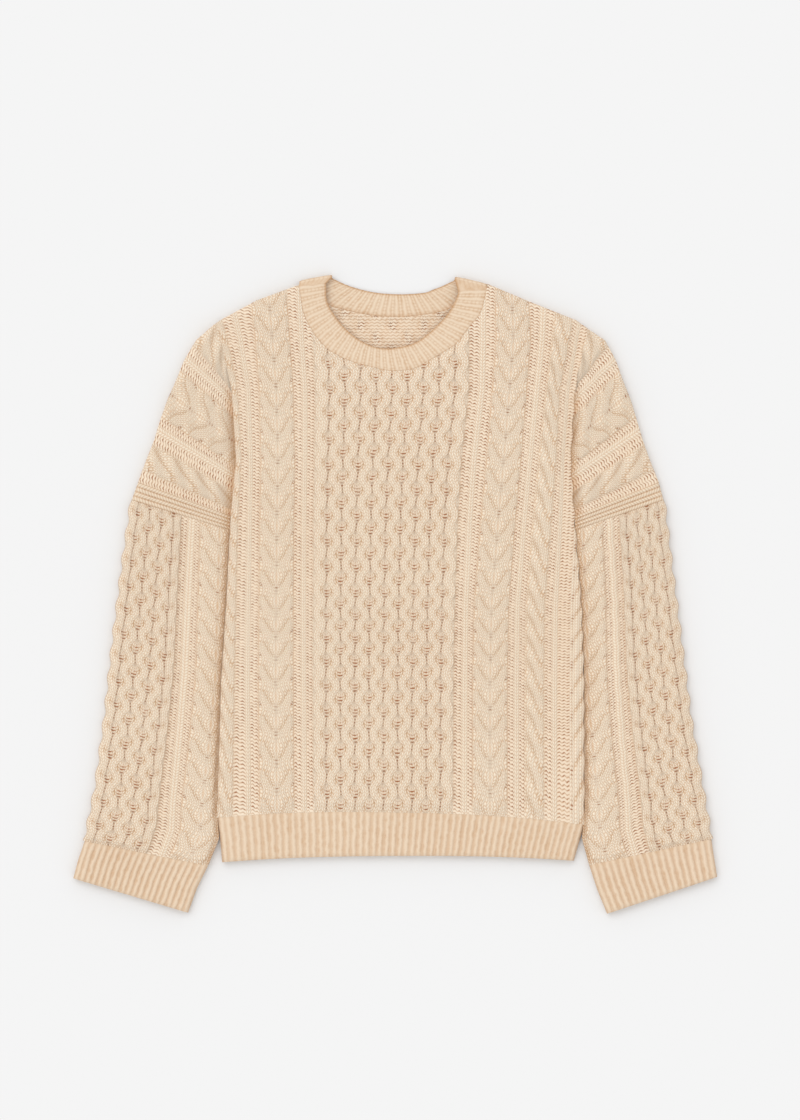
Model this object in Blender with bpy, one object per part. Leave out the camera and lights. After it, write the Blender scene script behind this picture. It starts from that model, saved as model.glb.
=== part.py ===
"""A cable knit sweater laid flat: front, back, arm bands, sleeves, cuffs, hem rib and neckband.

Lengths in the tables are in millimetres. The sweater lies on the plane z = 0 with its neck
towards +Y, and x and y are measured from near the middle of the laid-out garment.
"""

import math

import bmesh
import bpy
import numpy as np

MM = 0.001
PLACE = (-1.3, -1.6, 0.0)  # from the tables' middle to the middle of the finished garment
SEAM_GAP = 0.3  # between two pieces that are sewn together
WALL = 3.0  # thickness of the knit between its cables
BACK_TOP = 3.0  # the back lies flat on the ground, this thick
SEAM_Z = 6.3  # top of the front's edge, where it meets the back's edge
FRONT_Z = 9.6  # top of the front's plain knit, away from its edges
EDGE_ROUND = 9.0  # width of the rounding along a free edge
CREASE_WIDE = 20.0  # width of the slope down into the crease beside the body

CABLE_RISE = {"honeycomb": 4.0, "staghorn": 3.6, "rope": 3.6, "rib": 1.6}
BEND_SHARE = 0.2  # how far a honeycomb strand swings, in strand widths
PINCH_SHARE = 0.35  # height where two honeycomb strands meet, as a share of their rise
OUTER_STRAND = 0.9  # width of the honeycomb's first and last strand, in strand widths
HONEYCOMB_LINES = 9
ROWS_PER_REPEAT = 4
SHOULDER_ROWS = 12  # rows from the armpit level up to the shoulder line
PLAIN_ANGLE = math.radians(1.2)  # faces flatter than this to each other are joined
SMOOTH_ANGLE = math.radians(40)

# Where each repeat of the cables starts: y, number of the repeat counted from the hem.
REPEATS = (
    (-232.7, -0.75),
    (-209.4, 0.0),
    (-147.9, 2.0),
    (-68.4, 5.0),
    (4.8, 8.0),
    (221.0, 16.0),
    (329.0, 20.0),
)

# Heights at which the column lines below are given.
LEVELS = (-229.5, -92.8, -11.1, 82.2, 143.6, 218.9, 270.8, 313.2)

# The front's column lines from its left to its right: knit to the right of the line, then the
# line's x at each level.
FRONT_LINES = (
    ("rope", -187.6, -183.4, -178.1, -173.3, -167.5, -172.3, -183.4, -194.0),
    ("ladder", -170.7, -168.5, -167.0, -164.8, -161.5, -165.4, -176.0, -187.6),
    ("rib", -156.4, -157.9, -156.9, -155.3, -154.2, -156.9, -165.4, -174.9),
    ("ladder", -151.6, -152.9, -152.0, -150.5, -149.5, -152.1, -160.1, -169.6),
    ("staghorn", -142.6, -144.1, -143.3, -142.3, -141.2, -143.1, -147.3, -151.6),
    ("ladder", -105.5, -106.6, -106.6, -105.8, -104.7, -106.5, -110.2, -113.4),
    ("rib", -97.5, -98.1, -98.3, -97.9, -97.0, -97.0, -100.7, -102.8),
    ("ladder", -92.2, -93.1, -93.2, -92.9, -91.9, -91.7, -95.4, -97.5),
    ("honeycomb", -84.8, -85.9, -85.6, -85.2, -84.2, -83.2, -85.9, -88.0),
    ("ladder", 62.5, 63.1, 64.7, 67.8, 71.6, 79.5, 79.5, 79.5),
    ("rib", 71.6, 72.1, 73.1, 77.4, 81.6, 90.1, 91.2, 91.2),
    ("ladder", 77.4, 77.9, 79.0, 83.2, 87.5, 96.5, 97.5, 97.5),
    ("staghorn", 83.2, 83.2, 84.8, 92.2, 97.8, 104.2, 108.1, 107.1),
    ("ladder", 120.3, 120.3, 121.9, 129.3, 134.9, 141.0, 145.2, 143.1),
    ("rib", 127.2, 127.2, 128.3, 135.7, 141.5, 148.4, 153.7, 154.8),
    ("ladder", 132.5, 132.5, 133.6, 141.0, 146.8, 154.8, 160.1, 162.2),
    ("rope", 138.9, 138.9, 139.9, 147.3, 153.2, 161.1, 167.5, 171.7),
    ("ladder", 159.5, 159.5, 160.6, 168.0, 172.8, 176.5, 186.6, 194.0),
    ("rib", 167.5, 167.5, 168.5, 174.4, 177.0, 182.0, 191.0, 198.5),
    ("edge", 172.8, 172.8, 173.8, 178.5, 180.5, 186.0, 195.0, 203.0),
    ("end", 201.9, 201.4, 198.8, 191.3, 187.2, 191.9, 202.0, 210.0),
)

# Where the vertices of each kind of knit stand across its strip, as shares of its width.
ACROSS = {
    "rope": (0.0, 0.32, 0.68),
    "ladder": (0.0,),
    "rib": (0.0, 0.5),
    "staghorn": (0.0, 0.25, 0.5, 0.75),
    "edge": (0.0, 0.5, 0.85),
    "end": (0.0,),
}

# The shoulder line and the outer edge of each dropped shoulder: x, y, from the neck outwards.
SHOULDER_LEFT = (
    (-67.8, 335.5), (-101.8, 329.1), (-145.2, 313.2), (-184.4, 292.0), (-192.9, 285.7),
    (-209.9, 270.8), (-222.6, 249.6), (-231.1, 228.4), (-240.6, 207.2), (-248.0, 186.0),
    (-254.4, 164.8), (-262.9, 143.6), (-271.4, 120.3),
)
SHOULDER_RIGHT = (
    (66.8, 336.1), (98.6, 330.7), (139.9, 313.2), (192.9, 292.0), (209.0, 280.5),
    (223.7, 270.8), (235.3, 249.6), (242.7, 228.4), (251.2, 207.2), (257.6, 186.0),
    (263.9, 164.8), (271.4, 143.6), (280.8, 120.3),
)

# Columns of the dropped shoulder: knit, first and last line at the body's fold, counted in rows
# from the armpit, and the y at which the strip starts and ends on the outer edge.
ARM_STRIPS = (
    ("rope", 0, 1, 285.7, 266.6),
    ("ladder", 1, 2, 266.6, 247.5),
    ("rib", 2, 4, 247.5, 238.0),
    ("ladder", 4, 5, 238.0, 231.6),
    ("staghorn", 5, 13, 231.6, 195.6),
    ("ladder", 13, 14, 195.6, 179.7),
    ("rib", 14, 16, 179.7, 169.1),
    ("ladder", 16, 17, 169.1, 158.5),
    ("rope", 17, 20, 158.5, 137.3),
    ("ladder", 20, 21, 137.3, 120.3),
)
ARM_ROWS = 21  # rows of the body's fold that the dropped shoulder is joined to
ARMPIT_PHASE = 16.0

# Front neckline, where the neckband is sewn on, and the band's free edge: x, y.
NECK_SEAM = (
    (-100.7, 330.2), (-96.5, 300.5), (-85.9, 279.3), (-74.2, 264.5), (-62.5, 256.0),
    (-46.6, 248.6), (-21.2, 241.7), (-3.2, 238.0), (14.8, 239.0), (24.4, 241.7),
    (35.0, 247.5), (52.5, 258.1), (65.7, 266.6), (80.6, 285.7), (92.2, 300.5), (98.6, 326.5),
)
NECK_EDGE = (
    (-72.1, 332.3), (-71.6, 315.4), (-68.9, 306.9), (-62.5, 296.3), (-54.1, 285.7),
    (-41.3, 274.0), (-28.6, 266.6), (-20.1, 263.4), (-7.4, 261.7), (6.4, 263.4),
    (15.9, 265.5), (23.9, 268.7), (31.8, 274.0), (43.5, 284.1), (55.1, 296.3), (61.5, 305.8),
    (67.3, 318.5), (67.8, 323.9),
)
BACK_SEAM = (
    (-99.6, 330.2), (-84.0, 318.0), (-68.9, 307.9), (-46.6, 301.6), (-24.4, 297.3),
    (6.4, 295.5), (36.0, 298.4), (51.9, 301.6), (60.4, 305.3), (78.0, 316.0), (97.5, 327.0),
)
BACK_EDGE = (
    (-65.7, 336.5), (-46.6, 328.1), (-21.2, 321.7), (6.4, 319.6), (31.8, 321.2),
    (42.4, 324.9), (50.9, 328.1), (64.5, 334.5),
)
NECK_RIBS_FRONT = 35
NECK_RIBS_BACK = 22
NECK_THICK = 2.4
NECK_RIB_RISE = 0.8
NECK_FOLD_WIDE = 3.0  # how far the band's folds reach out past their line

# Row lines of the arm tubes from the dropped shoulder to the wrist: outer end x, y, inner end
# x, y, and the width of the slope at the inner end.
BAND_ROWS_LEFT = (
    (-271.4, 120.3, -173.5, 79.1, 20.0),
    (-278.3, 101.2, -174.0, 72.6, 20.0),
)
SLEEVE_ROWS_LEFT = (
    (-278.3, 101.2, -174.0, 72.6, 20.0),
    (-287.3, 37.6, -177.0, 8.0, 24.0),
    (-297.9, -47.2, -182.0, -75.8, 26.0),
    (-306.9, -132.0, -185.5, -160.6, 22.0),
    (-317.0, -206.2, -187.6, -229.5, 12.0),
    (-328.1, -260.2, -197.2, -286.7, 9.0),
)
CUFF_ROWS_LEFT = (
    (-328.1, -260.2, -197.2, -286.7, 9.0),
    (-335.0, -280.4, -208.8, -310.1, 9.0),
    (-340.3, -300.0, -218.4, -336.5, 9.0),
)
BAND_ROWS_RIGHT = (
    (280.8, 120.3, 191.5, 79.1, 20.0),
    (286.0, 101.2, 192.0, 72.6, 20.0),
)
SLEEVE_ROWS_RIGHT = (
    (286.0, 101.2, 192.0, 72.6, 20.0),
    (293.6, 37.6, 197.0, 8.0, 24.0),
    (304.2, -47.2, 201.0, -75.8, 26.0),
    (314.8, -132.0, 201.6, -160.6, 22.0),
    (327.5, -206.2, 202.0, -229.5, 12.0),
    (336.6, -258.1, 211.0, -286.7, 9.0),
)
CUFF_ROWS_RIGHT = (
    (336.6, -258.1, 211.0, -286.7, 9.0),
    (340.0, -280.4, 217.0, -312.2, 9.0),
    (342.9, -298.4, 226.0, -337.6, 9.0),
)
# The sleeve's column lines: knit towards the body, then the share of the width at the top, in
# the middle and at the wrist.
SLEEVE_LINES = (
    ("honeycomb", 0.0, 0.0, 0.0),
    ("ladder", 0.58, 0.635, 0.505),
    ("rib", 0.60, 0.665, 0.60),
    ("ladder", 0.66, 0.705, 0.65),
    ("staghorn", 0.74, 0.735, 0.685),
    ("edge", 0.995, 0.99, 0.925),
    ("end", 1.0, 1.0, 1.0),
)
SLEEVE_HONEYCOMB_LINES = 5
SLEEVE_FIRST_STRAND = 0.6
SLEEVE_REPEATS = 14.3  # repeats of the cables from the band to the cuff
SLEEVE_PHASE = 0.1
BAND_RIDGES = 4
BAND_RIDGE_RISE = 1.2
CUFF_RIBS = 18
RIB_RISE = 1.6

# The hem rib's row lines: left end x, y, right end x, y, slope width, rise of the middle.
HEM_ROWS = (
    (-187.6, -235.9, 201.9, -243.3, 9.0, 9.6),
    (-184.4, -259.7, 198.0, -262.9, 9.0, 7.5),
    (-182.3, -283.0, 190.8, -281.4, 9.0, 6.0),
)
HEM_RIBS = 54
# Underside of a tube, from its inner edge to its outer one: share of the width, inset, z.
UNDERSIDE = (
    (1.0, -1.0, 1.4), (1.0, -4.0, 0.0), (0.88, 0.0, 0.0), (0.7, 0.0, 0.0), (0.5, 0.0, 0.0),
    (0.3, 0.0, 0.0), (0.12, 0.0, 0.0), (0.0, 4.0, 0.0), (0.0, 1.0, 1.4),
)
HEM_BEND = 2.5  # power of the hem's bend between its ends
BODY_CLEAR = 0.6  # between the body's side fold and the sleeve beside it


def clear_scene():
    """Removes whatever the file starts with."""
    for item in list(bpy.data.objects):
        bpy.data.objects.remove(item, do_unlink=True)


def column(table, name_index):
    """One column of a table as an array."""
    return np.array([row[name_index] for row in table], float)


def repeat_at(y):
    """The number of the cable repeat at height y, counted from the hem."""
    return np.interp(y, column(REPEATS, 0), column(REPEATS, 1))


def height_of(repeat):
    """The height y at which a cable repeat starts."""
    return np.interp(repeat, column(REPEATS, 1), column(REPEATS, 0))


def line_x(line, y):
    """The x of one of the front's column lines at height y."""
    return np.interp(y, LEVELS, line[1:])


def bend(share):
    """The bend of the hem's row lines: 0 at their ends and 1 in their middle."""
    return 1.0 - np.abs(2.0 * np.clip(share, 0.0, 1.0) - 1.0) ** HEM_BEND


def hem_y(x):
    """The seam between the front and the hem rib."""
    left, left_y, right, right_y, _, rise = HEM_ROWS[0]
    share = (x - left) / (right - left)
    return left_y + share * (right_y - left_y) + rise * bend(share)


def body_side(y, side):
    """The x of the body's side fold at height y, with side 0 the left one and 1 the right."""
    rows = sorted((row[1 + 2 * side], row[2 * side]) for row in HEM_ROWS[1:])
    line = FRONT_LINES[-side]
    rows += list(zip(LEVELS, line[1:]))
    return np.interp(y, column(rows, 0), column(rows, 1))


def shoulder_y(x):
    """The shoulder line above x, carried straight across the neck."""
    left, right = SHOULDER_LEFT[:5], SHOULDER_RIGHT[:5]
    points = sorted(left) + sorted(right)
    return np.interp(x, column(points, 0), column(points, 1))


def swell(distance, wide):
    """A rounded rise from 0 at an edge to 1 at the distance called wide."""
    share = np.clip(np.asarray(distance, float) / wide, 0.0, 1.0)
    return np.sqrt(1.0 - (1.0 - share) ** 2)


def ease(share):
    """A smooth step from 0 to 1."""
    share = np.clip(share, 0.0, 1.0)
    return share * share * (3.0 - 2.0 * share)


def staghorn_rise(across, repeat):
    """Height of the chevrons that point to the hem, with across from -1 to 1."""
    side = np.abs(across)
    ridge = 0.5 + 0.5 * np.cos(2.0 * math.pi * (repeat - 0.9 * side))
    envelope = np.sqrt(np.clip(1.0 - side ** 4, 0.0, 1.0))
    return CABLE_RISE["staghorn"] * envelope * (0.4 + 0.6 * ridge)


def rope_rise(across, repeat, turn):
    """Height of a two-strand rope, with across from -1 to 1 and turn its direction."""
    envelope = np.sqrt(np.clip(1.0 - np.abs(across) ** 3, 0.0, 1.0))
    strands = 0.5 + 0.5 * np.cos(2.0 * math.pi * (repeat + 0.6 * turn * across))
    return CABLE_RISE["rope"] * envelope * (0.6 + 0.4 * strands)


def knit_rise(kind, share, repeat, turn=1.0):
    """Height of one kind of knit above the plain knit, at a share of its strip's width."""
    across = 2.0 * share - 1.0
    if kind == "rib":
        return CABLE_RISE["rib"] * (1.0 - abs(across)) + 0.0 * repeat
    if kind == "rope":
        return rope_rise(across, repeat, turn)
    if kind == "staghorn":
        return staghorn_rise(across, repeat)
    return 0.0 * repeat


def honeycomb_columns(lines, first):
    """Places of the honeycomb's lines and strands: (share of the width, line or strand, side)."""
    total = lines - 1 + 2.0 * first
    places = [(0.0, "foot", 0)]
    places.append((0.5 * first / total, "strand", -1))
    for number in range(lines):
        places.append(((first + number) / total, "line", number))
        last = number == lines - 1
        middle = first + number + (0.5 * first if last else 0.5)
        places.append((middle / total, "strand", number))
    return places, total


def honeycomb_place(place, total, repeat, lines):
    """Share of the width and height of one honeycomb vertex column, row by row."""
    share, part, number = place
    rise = CABLE_RISE["honeycomb"]
    if part == "foot":
        return share + 0.0 * repeat, 0.0 * repeat
    if part == "line":
        eye = np.cos(2.0 * math.pi * (repeat - 0.5 * (number % 2)))
        return share + 0.0 * repeat, rise * PINCH_SHARE * (0.5 - 0.5 * eye)
    if number < 0:
        swing = -0.5 * np.cos(2.0 * math.pi * repeat)
    elif number == lines - 1:
        swing = 0.5 * np.cos(2.0 * math.pi * (repeat - 0.5 * (number % 2)))
    else:
        swing = np.cos(2.0 * math.pi * (repeat - 0.5 * (number % 2)))
    return share + BEND_SHARE * swing / total, rise + 0.0 * repeat


def make_object(name, points, faces, colour):
    """Makes a named solid from points in millimetres, with flat runs of faces joined."""
    mesh = bpy.data.meshes.new(name)
    mesh.from_pydata(((np.asarray(points) + PLACE) * MM).tolist(), [], faces)
    part = bpy.data.objects.new(name, mesh)
    bpy.context.scene.collection.objects.link(part)
    shape = bmesh.new()
    shape.from_mesh(mesh)
    bmesh.ops.remove_doubles(shape, verts=shape.verts, dist=1e-6)
    bmesh.ops.dissolve_limit(
        shape, angle_limit=PLAIN_ANGLE, verts=shape.verts, edges=shape.edges
    )
    bmesh.ops.triangulate(shape, faces=shape.faces, quad_method="BEAUTY", ngon_method="BEAUTY")
    bmesh.ops.recalc_face_normals(shape, faces=shape.faces)
    shape.to_mesh(mesh)
    shape.free()
    mesh.shade_smooth()
    mesh.set_sharp_from_angle(angle=SMOOTH_ANGLE)
    yarn = bpy.data.materials.new(name + "_yarn")
    yarn.use_nodes = True
    surface = yarn.node_tree.nodes["Principled BSDF"]
    surface.inputs["Base Color"].default_value = colour
    surface.inputs["Roughness"].default_value = 0.9
    mesh.materials.append(yarn)
    return part


YARN_COLOUR = (0.76, 0.60, 0.43, 1.0)


def cloth_wall(name, plan, top, inside, faces):
    """A solid between a top sheet and the plain sheet below it, closed along their edges."""
    count = len(plan)
    points = np.concatenate(
        [np.column_stack([plan, top]), np.column_stack([plan, inside])]
    )
    uses = {}
    for face in faces:
        for a, b in zip(face, face[1:] + face[:1]):
            uses[(a, b)] = True
    walls = [list(face) for face in faces]
    walls += [[count + i for i in reversed(face)] for face in faces]
    for a, b in uses:
        if (b, a) not in uses:
            walls.append([a, count + a, count + b, b])
    return make_object(name, points, walls, YARN_COLOUR)


def beside_polyline(points, line):
    """Signed distance of points from a polyline: positive on its left-hand side."""
    line = np.asarray(line, float)
    start, step = line[:-1], np.diff(line, axis=0)
    away = points[:, None, :] - start[None]
    share = np.clip(
        (away * step).sum(2) / (step * step).sum(1), 0.0, 1.0
    )
    gap = away - share[..., None] * step
    far = np.linalg.norm(gap, axis=2)
    nearest = far.argmin(1)
    rows = np.arange(len(points))
    cross = step[nearest, 0] * away[rows, nearest, 1] - step[nearest, 1] * away[rows, nearest, 0]
    return np.where(cross >= 0.0, far[rows, nearest], -far[rows, nearest])


def cut_faces(plan, extra, faces, distance, snap):
    """Keeps the part of a flat mesh where distance is positive.

    A vertex nearer to the cut than snap is moved onto it, and every other edge that crosses
    the cut gets a vertex there. The columns of extra are carried along.
    """
    plan, extra = [tuple(p) for p in plan], [tuple(e) for e in extra]
    value = list(distance(np.array(plan)))
    step = 0.05
    for index, gap in enumerate(value):
        if abs(gap) < snap:
            here = np.array(plan[index])
            near = np.array([here + (step, 0.0), here + (0.0, step)])
            slope = (distance(near) - gap) / step
            slope /= max(np.linalg.norm(slope), 1e-9)
            plan[index] = tuple(here - slope * gap)
            value[index] = 0.0
    made, kept = {}, []
    for face in faces:
        shape = []
        for a, b in zip(face, face[1:] + face[:1]):
            if value[a] >= 0.0:
                shape.append(a)
            if value[a] * value[b] < 0.0:
                key = (min(a, b), max(a, b))
                if key not in made:
                    share = value[key[0]] / (value[key[0]] - value[key[1]])
                    blend = [
                        tuple((1 - share) * np.array(rows[key[0]]) + share * np.array(rows[key[1]]))
                        for rows in (plan, extra)
                    ]
                    made[key] = len(plan)
                    plan.append(blend[0])
                    extra.append(blend[1])
                    value.append(0.0)
                shape.append(made[key])
        if len(shape) >= 3 and max(value[i] for i in shape) > 0.0:
            kept.append(shape)
    return np.array(plan), np.array(extra), kept


def even_steps(line, count):
    """Points at even steps along a polyline."""
    length = np.linalg.norm(np.diff(line, axis=0), axis=1)
    at = np.append(0.0, np.cumsum(length)) / length.sum()
    steps = np.linspace(0.0, 1.0, count)
    return np.column_stack([np.interp(steps, at, line[:, 0]), np.interp(steps, at, line[:, 1])])


def smooth_curve(table, count):
    """Points at even steps along a smooth curve through the points of a table."""
    line = np.array(table, float)
    line = np.vstack([2 * line[0] - line[1], line, 2 * line[-1] - line[-2]])
    share = np.linspace(0.0, 1.0, 9)[:-1, None]
    fine = []
    for before, here, there, after in zip(line, line[1:], line[2:], line[3:]):
        fine.append(
            0.5 * (2 * here + (there - before) * share
                   + (2 * before - 5 * here + 4 * there - after) * share ** 2
                   + (3 * here - before - 3 * there + after) * share ** 3)
        )
    return even_steps(np.vstack(fine + [line[-2]]), count)


def front_columns():
    """The front's vertex columns: (strip, share across it, honeycomb place or None)."""
    columns = []
    for number, line in enumerate(FRONT_LINES):
        if line[0] == "honeycomb":
            places, _ = honeycomb_columns(HONEYCOMB_LINES, OUTER_STRAND)
            columns += [(number, place[0], place) for place in places]
        else:
            columns += [(number, share, None) for share in ACROSS[line[0]]]
    return columns


def front_rows():
    """Heights of the front's rows below the shoulder zone, from the hem up."""
    first = math.ceil(REPEATS[0][1] * ROWS_PER_REPEAT) + 1
    last = int((ARMPIT_PHASE + 0.5) * ROWS_PER_REPEAT)
    repeats = [REPEATS[0][1]]
    repeats += [step / ROWS_PER_REPEAT for step in range(first, last + 1)]
    return height_of(np.array(repeats))


def body_grid():
    """The front between its side folds: plan points, heights above and below, by row."""
    low = front_rows()
    rows = np.arange(len(low) + SHOULDER_ROWS)
    total = honeycomb_columns(HONEYCOMB_LINES, OUTER_STRAND)[1]
    plan, rise, base = [], [], []
    for strip, share, place in front_columns():
        kind = FRONT_LINES[strip][0]
        left = FRONT_LINES[strip]
        right = FRONT_LINES[min(strip + 1, len(FRONT_LINES) - 1)]
        y = np.concatenate([low, np.full(SHOULDER_ROWS, low[-1])])
        for _ in range(4):
            x = (1 - share) * line_x(left, y) + share * line_x(right, y)
            top = shoulder_y(x)
            part = np.clip((rows - len(low) + 1) / SHOULDER_ROWS, 0.0, 1.0)
            y = np.where(part > 0, low[-1] + (top - low[-1]) * part, y)
            y[: len(low)] = low
            near_hem = ease(1.0 - (low - low[0]) / 60.0)
            y[: len(low)] += near_hem * (hem_y(x[: len(low)]) + 0.5 * SEAM_GAP - low[0])
        repeat = repeat_at(y)
        if place is not None:
            moved, lift = honeycomb_place(place, total, repeat, HONEYCOMB_LINES)
        else:
            moved, lift = share + 0.0 * y, knit_rise(kind, share, repeat)
        x = (1 - moved) * line_x(left, y) + moved * line_x(right, y)
        plan.append(np.column_stack([x, y]))
        rise.append(lift)
    plan, rise = np.array(plan).transpose(1, 0, 2), np.array(rise).T
    x, y = plan[..., 0], plan[..., 1]
    armpit = height_of(ARMPIT_PHASE)
    fold = ease((armpit + 2.0 - y) / 20.0)
    left = swell(x - line_x(FRONT_LINES[0], y), EDGE_ROUND)
    right = swell(line_x(FRONT_LINES[-1], y) - x, EDGE_ROUND)
    above = swell(np.where(y > low[-1], shoulder_y(x) - y, 99.0), EDGE_ROUND)
    full = (1 - fold * (1 - left)) * (1 - fold * (1 - right)) * above
    base = SEAM_Z + (FRONT_Z - SEAM_Z) * full
    return plan, base, base + rise * full


def outline_at(y, outline):
    """The point of a dropped shoulder's outer edge at height y."""
    points = np.array(outline[4:])[::-1]
    return np.column_stack(
        [np.interp(y, points[:, 1], points[:, 0]), np.asarray(y, float)]
    )


def arm_grid(edge, outline, armpit_row, turn):
    """A dropped shoulder, from the body's edge column: plan points, base and top heights."""
    top_rows = len(edge) - 1 - armpit_row
    fold = edge[armpit_row - ARM_ROWS: armpit_row + 1][::-1]
    split = edge[armpit_row:][::-1]
    strip_of, share_of, outer_y = [], [], []
    for line in range(ARM_ROWS + 1):
        for kind, first, last, start, end in ARM_STRIPS:
            if first <= line <= last:
                share = (line - first) / (last - first)
                strip_of.append(kind)
                share_of.append(share)
                outer_y.append(start + (end - start) * share)
                break
    outer = outline_at(np.array(outer_y), outline)
    outer[0] = split[0]
    b = np.linspace(0.0, 1.0, top_rows + 1)
    plan = outer[:, None] * (1 - b)[None, :, None] + fold[:, None] * b[None, :, None]
    bend = split - plan[0]
    fade = np.clip(1.0 - np.arange(ARM_ROWS + 1) / 8.0, 0.0, 1.0)
    plan = plan + fade[:, None, None] * bend[None]
    long = np.linalg.norm(fold - outer, axis=1)
    rise = np.zeros(plan.shape[:2])
    for line, kind in enumerate(strip_of):
        repeat = (long[line] * b) / 27.0
        rise[line] = knit_rise(kind, share_of[line], repeat, turn)
    from_edge = swell(long[:, None] * b[None], EDGE_ROUND)
    depth = ease(np.arange(ARM_ROWS + 1) / 3.0)[:, None]
    to_fold = 1 - depth * (1 - ease(long[:, None] * (1 - b[None]) / CREASE_WIDE))
    full = from_edge * to_fold
    base = SEAM_Z + (FRONT_Z - SEAM_Z) * full
    return plan, base, base + rise * full


def grid_faces(index):
    """Quads of a grid of vertex numbers, facing up when rows run up and columns right."""
    a, b = index[:-1, :-1], index[:-1, 1:]
    c, d = index[1:, 1:], index[1:, :-1]
    return np.stack([a, b, c, d], axis=-1).reshape(-1, 4).tolist()


def make_front():
    """The front panel: the body with both dropped shoulders, raised with all its cables."""
    plan, base, top = body_grid()
    rows, columns = base.shape
    index = np.arange(rows * columns).reshape(rows, columns)
    faces = grid_faces(index)
    points = plan.reshape(-1, 2)
    heights = np.column_stack([top.ravel(), base.ravel() - WALL])
    armpit_row = int(np.abs(plan[:, 0, 1] - height_of(ARMPIT_PHASE)).argmin())
    for side, outline in ((0, SHOULDER_LEFT), (columns - 1, SHOULDER_RIGHT)):
        arm, arm_base, arm_top = arm_grid(
            plan[:, side], outline, armpit_row, 1.0 if side == 0 else -1.0
        )
        start = len(points)
        number = start + np.arange(arm_base.size).reshape(arm_base.shape)
        fold = index[armpit_row - ARM_ROWS: armpit_row + 1, side][::-1]
        split = index[armpit_row:, side][::-1]
        number[:, -1] = fold
        number[0, :] = split
        points = np.concatenate([points, arm.reshape(-1, 2)])
        heights = np.concatenate(
            [heights, np.column_stack([arm_top.ravel(), arm_base.ravel() - WALL])]
        )
        quads = grid_faces(number)
        if side == 0:
            faces += [quad[::-1] for quad in quads]
        else:
            faces += quads
    seam = smooth_curve(NECK_SEAM, 2 * NECK_RIBS_FRONT + 1)

    def outside(where):
        far = -beside_polyline(where, seam) - 0.5 * SEAM_GAP
        neck = (where[:, 0] > seam[0, 0] - 2.0) & (where[:, 0] < seam[-1, 0] + 2.0)
        return np.where(neck & (where[:, 1] > 225.0), far, 50.0)

    points, heights, faces = cut_faces(points, heights, faces, outside, 1.6)
    used = sorted({i for face in faces for i in face})
    place = {old: new for new, old in enumerate(used)}
    faces = [[place[i] for i in face] for face in faces]
    return cloth_wall("front", points[used], heights[used, 0], heights[used, 1], faces)


def make_back():
    """The back panel: one flat layer under the front, shaped like it, with its own neckline."""
    left = [line_x(FRONT_LINES[0], y) for y in LEVELS[1:4]]
    right = [line_x(FRONT_LINES[-1], y) for y in LEVELS[1:4]]
    hem_left = (HEM_ROWS[0][0], HEM_ROWS[0][1] + SEAM_GAP)
    hem_right = (HEM_ROWS[0][2], HEM_ROWS[0][3] + SEAM_GAP)
    armhole = height_of(ARMPIT_PHASE - ARM_ROWS / ROWS_PER_REPEAT)
    corner_left = (float(line_x(FRONT_LINES[0], armhole)), float(armhole))
    corner_right = (float(line_x(FRONT_LINES[-1], armhole)), float(armhole))
    edge = [hem_left] + list(zip(left[:2], LEVELS[1:3])) + [corner_left]
    edge += [SHOULDER_LEFT[-1]] + list(SHOULDER_LEFT[-2:0:-1])
    edge += list(map(tuple, smooth_curve(BACK_SEAM, 2 * NECK_RIBS_BACK + 1)))
    edge += list(SHOULDER_RIGHT[1:]) + [corner_right]
    edge += list(zip(right[:2], LEVELS[1:3]))[::-1] + [hem_right]
    hem = np.linspace(hem_right[0], hem_left[0], 16)[1:-1]
    edge += [(x, float(hem_y(x)) + SEAM_GAP) for x in hem]
    edge = np.array(edge)[::-1]
    count = len(edge)
    before, after = np.roll(edge, 1, 0), np.roll(edge, -1, 0)
    along = (after - before) / np.linalg.norm(after - before, axis=1)[:, None]
    inward = np.column_stack([-along[:, 1], along[:, 0]])
    rings = [(0.0, BACK_TOP), (0.0, 0.5 * BACK_TOP), (1.2, 0.0)]
    points = [np.column_stack([edge + inset * inward, np.full(count, z)]) for inset, z in rings]
    faces = [list(range(count)), [2 * count + i for i in reversed(range(count))]]
    for ring in (0, 1):
        for i in range(count):
            j = (i + 1) % count
            faces.append([ring * count + j, ring * count + i,
                          (ring + 1) * count + i, (ring + 1) * count + j])
    make_object("back", np.concatenate(points), faces, YARN_COLOUR)


def zip_rings(first, first_at, second, second_at):
    """Triangles between two rings of vertex numbers, matched by their places round the ring."""
    faces, i, j = [], 0, 0
    many, few = len(first), len(second)
    first_at = np.append(first_at, first_at[0] + 2.0)
    second_at = np.append(second_at, second_at[0] + 2.0)
    while i < many or j < few:
        if j == few or (i < many and first_at[i + 1] <= second_at[j + 1]):
            faces.append([first[i], first[(i + 1) % many], second[j % few]])
            i += 1
        else:
            faces.append([first[i % many], second[(j + 1) % few], second[j]])
            j += 1
    return faces


def ring_tube(name, outer, outer_at, inner, inner_at):
    """A tube between an outer and an inner grid of rings, closed by a rim at each end."""
    points = np.concatenate([outer.reshape(-1, 3), inner.reshape(-1, 3)])
    out = np.arange(outer.shape[0] * outer.shape[1]).reshape(outer.shape[:2])
    inn = out.size + np.arange(inner.shape[0] * inner.shape[1]).reshape(inner.shape[:2])
    closed_out = np.column_stack([out, out[:, 0]])
    closed_in = np.column_stack([inn, inn[:, 0]])
    faces = grid_faces(closed_out)
    faces += [quad[::-1] for quad in grid_faces(closed_in)]
    faces += [face[::-1] for face in zip_rings(out[0], outer_at, inn[0], inner_at)]
    faces += zip_rings(out[-1], outer_at, inn[-1], inner_at)
    return make_object(name, points, faces, YARN_COLOUR)


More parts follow.
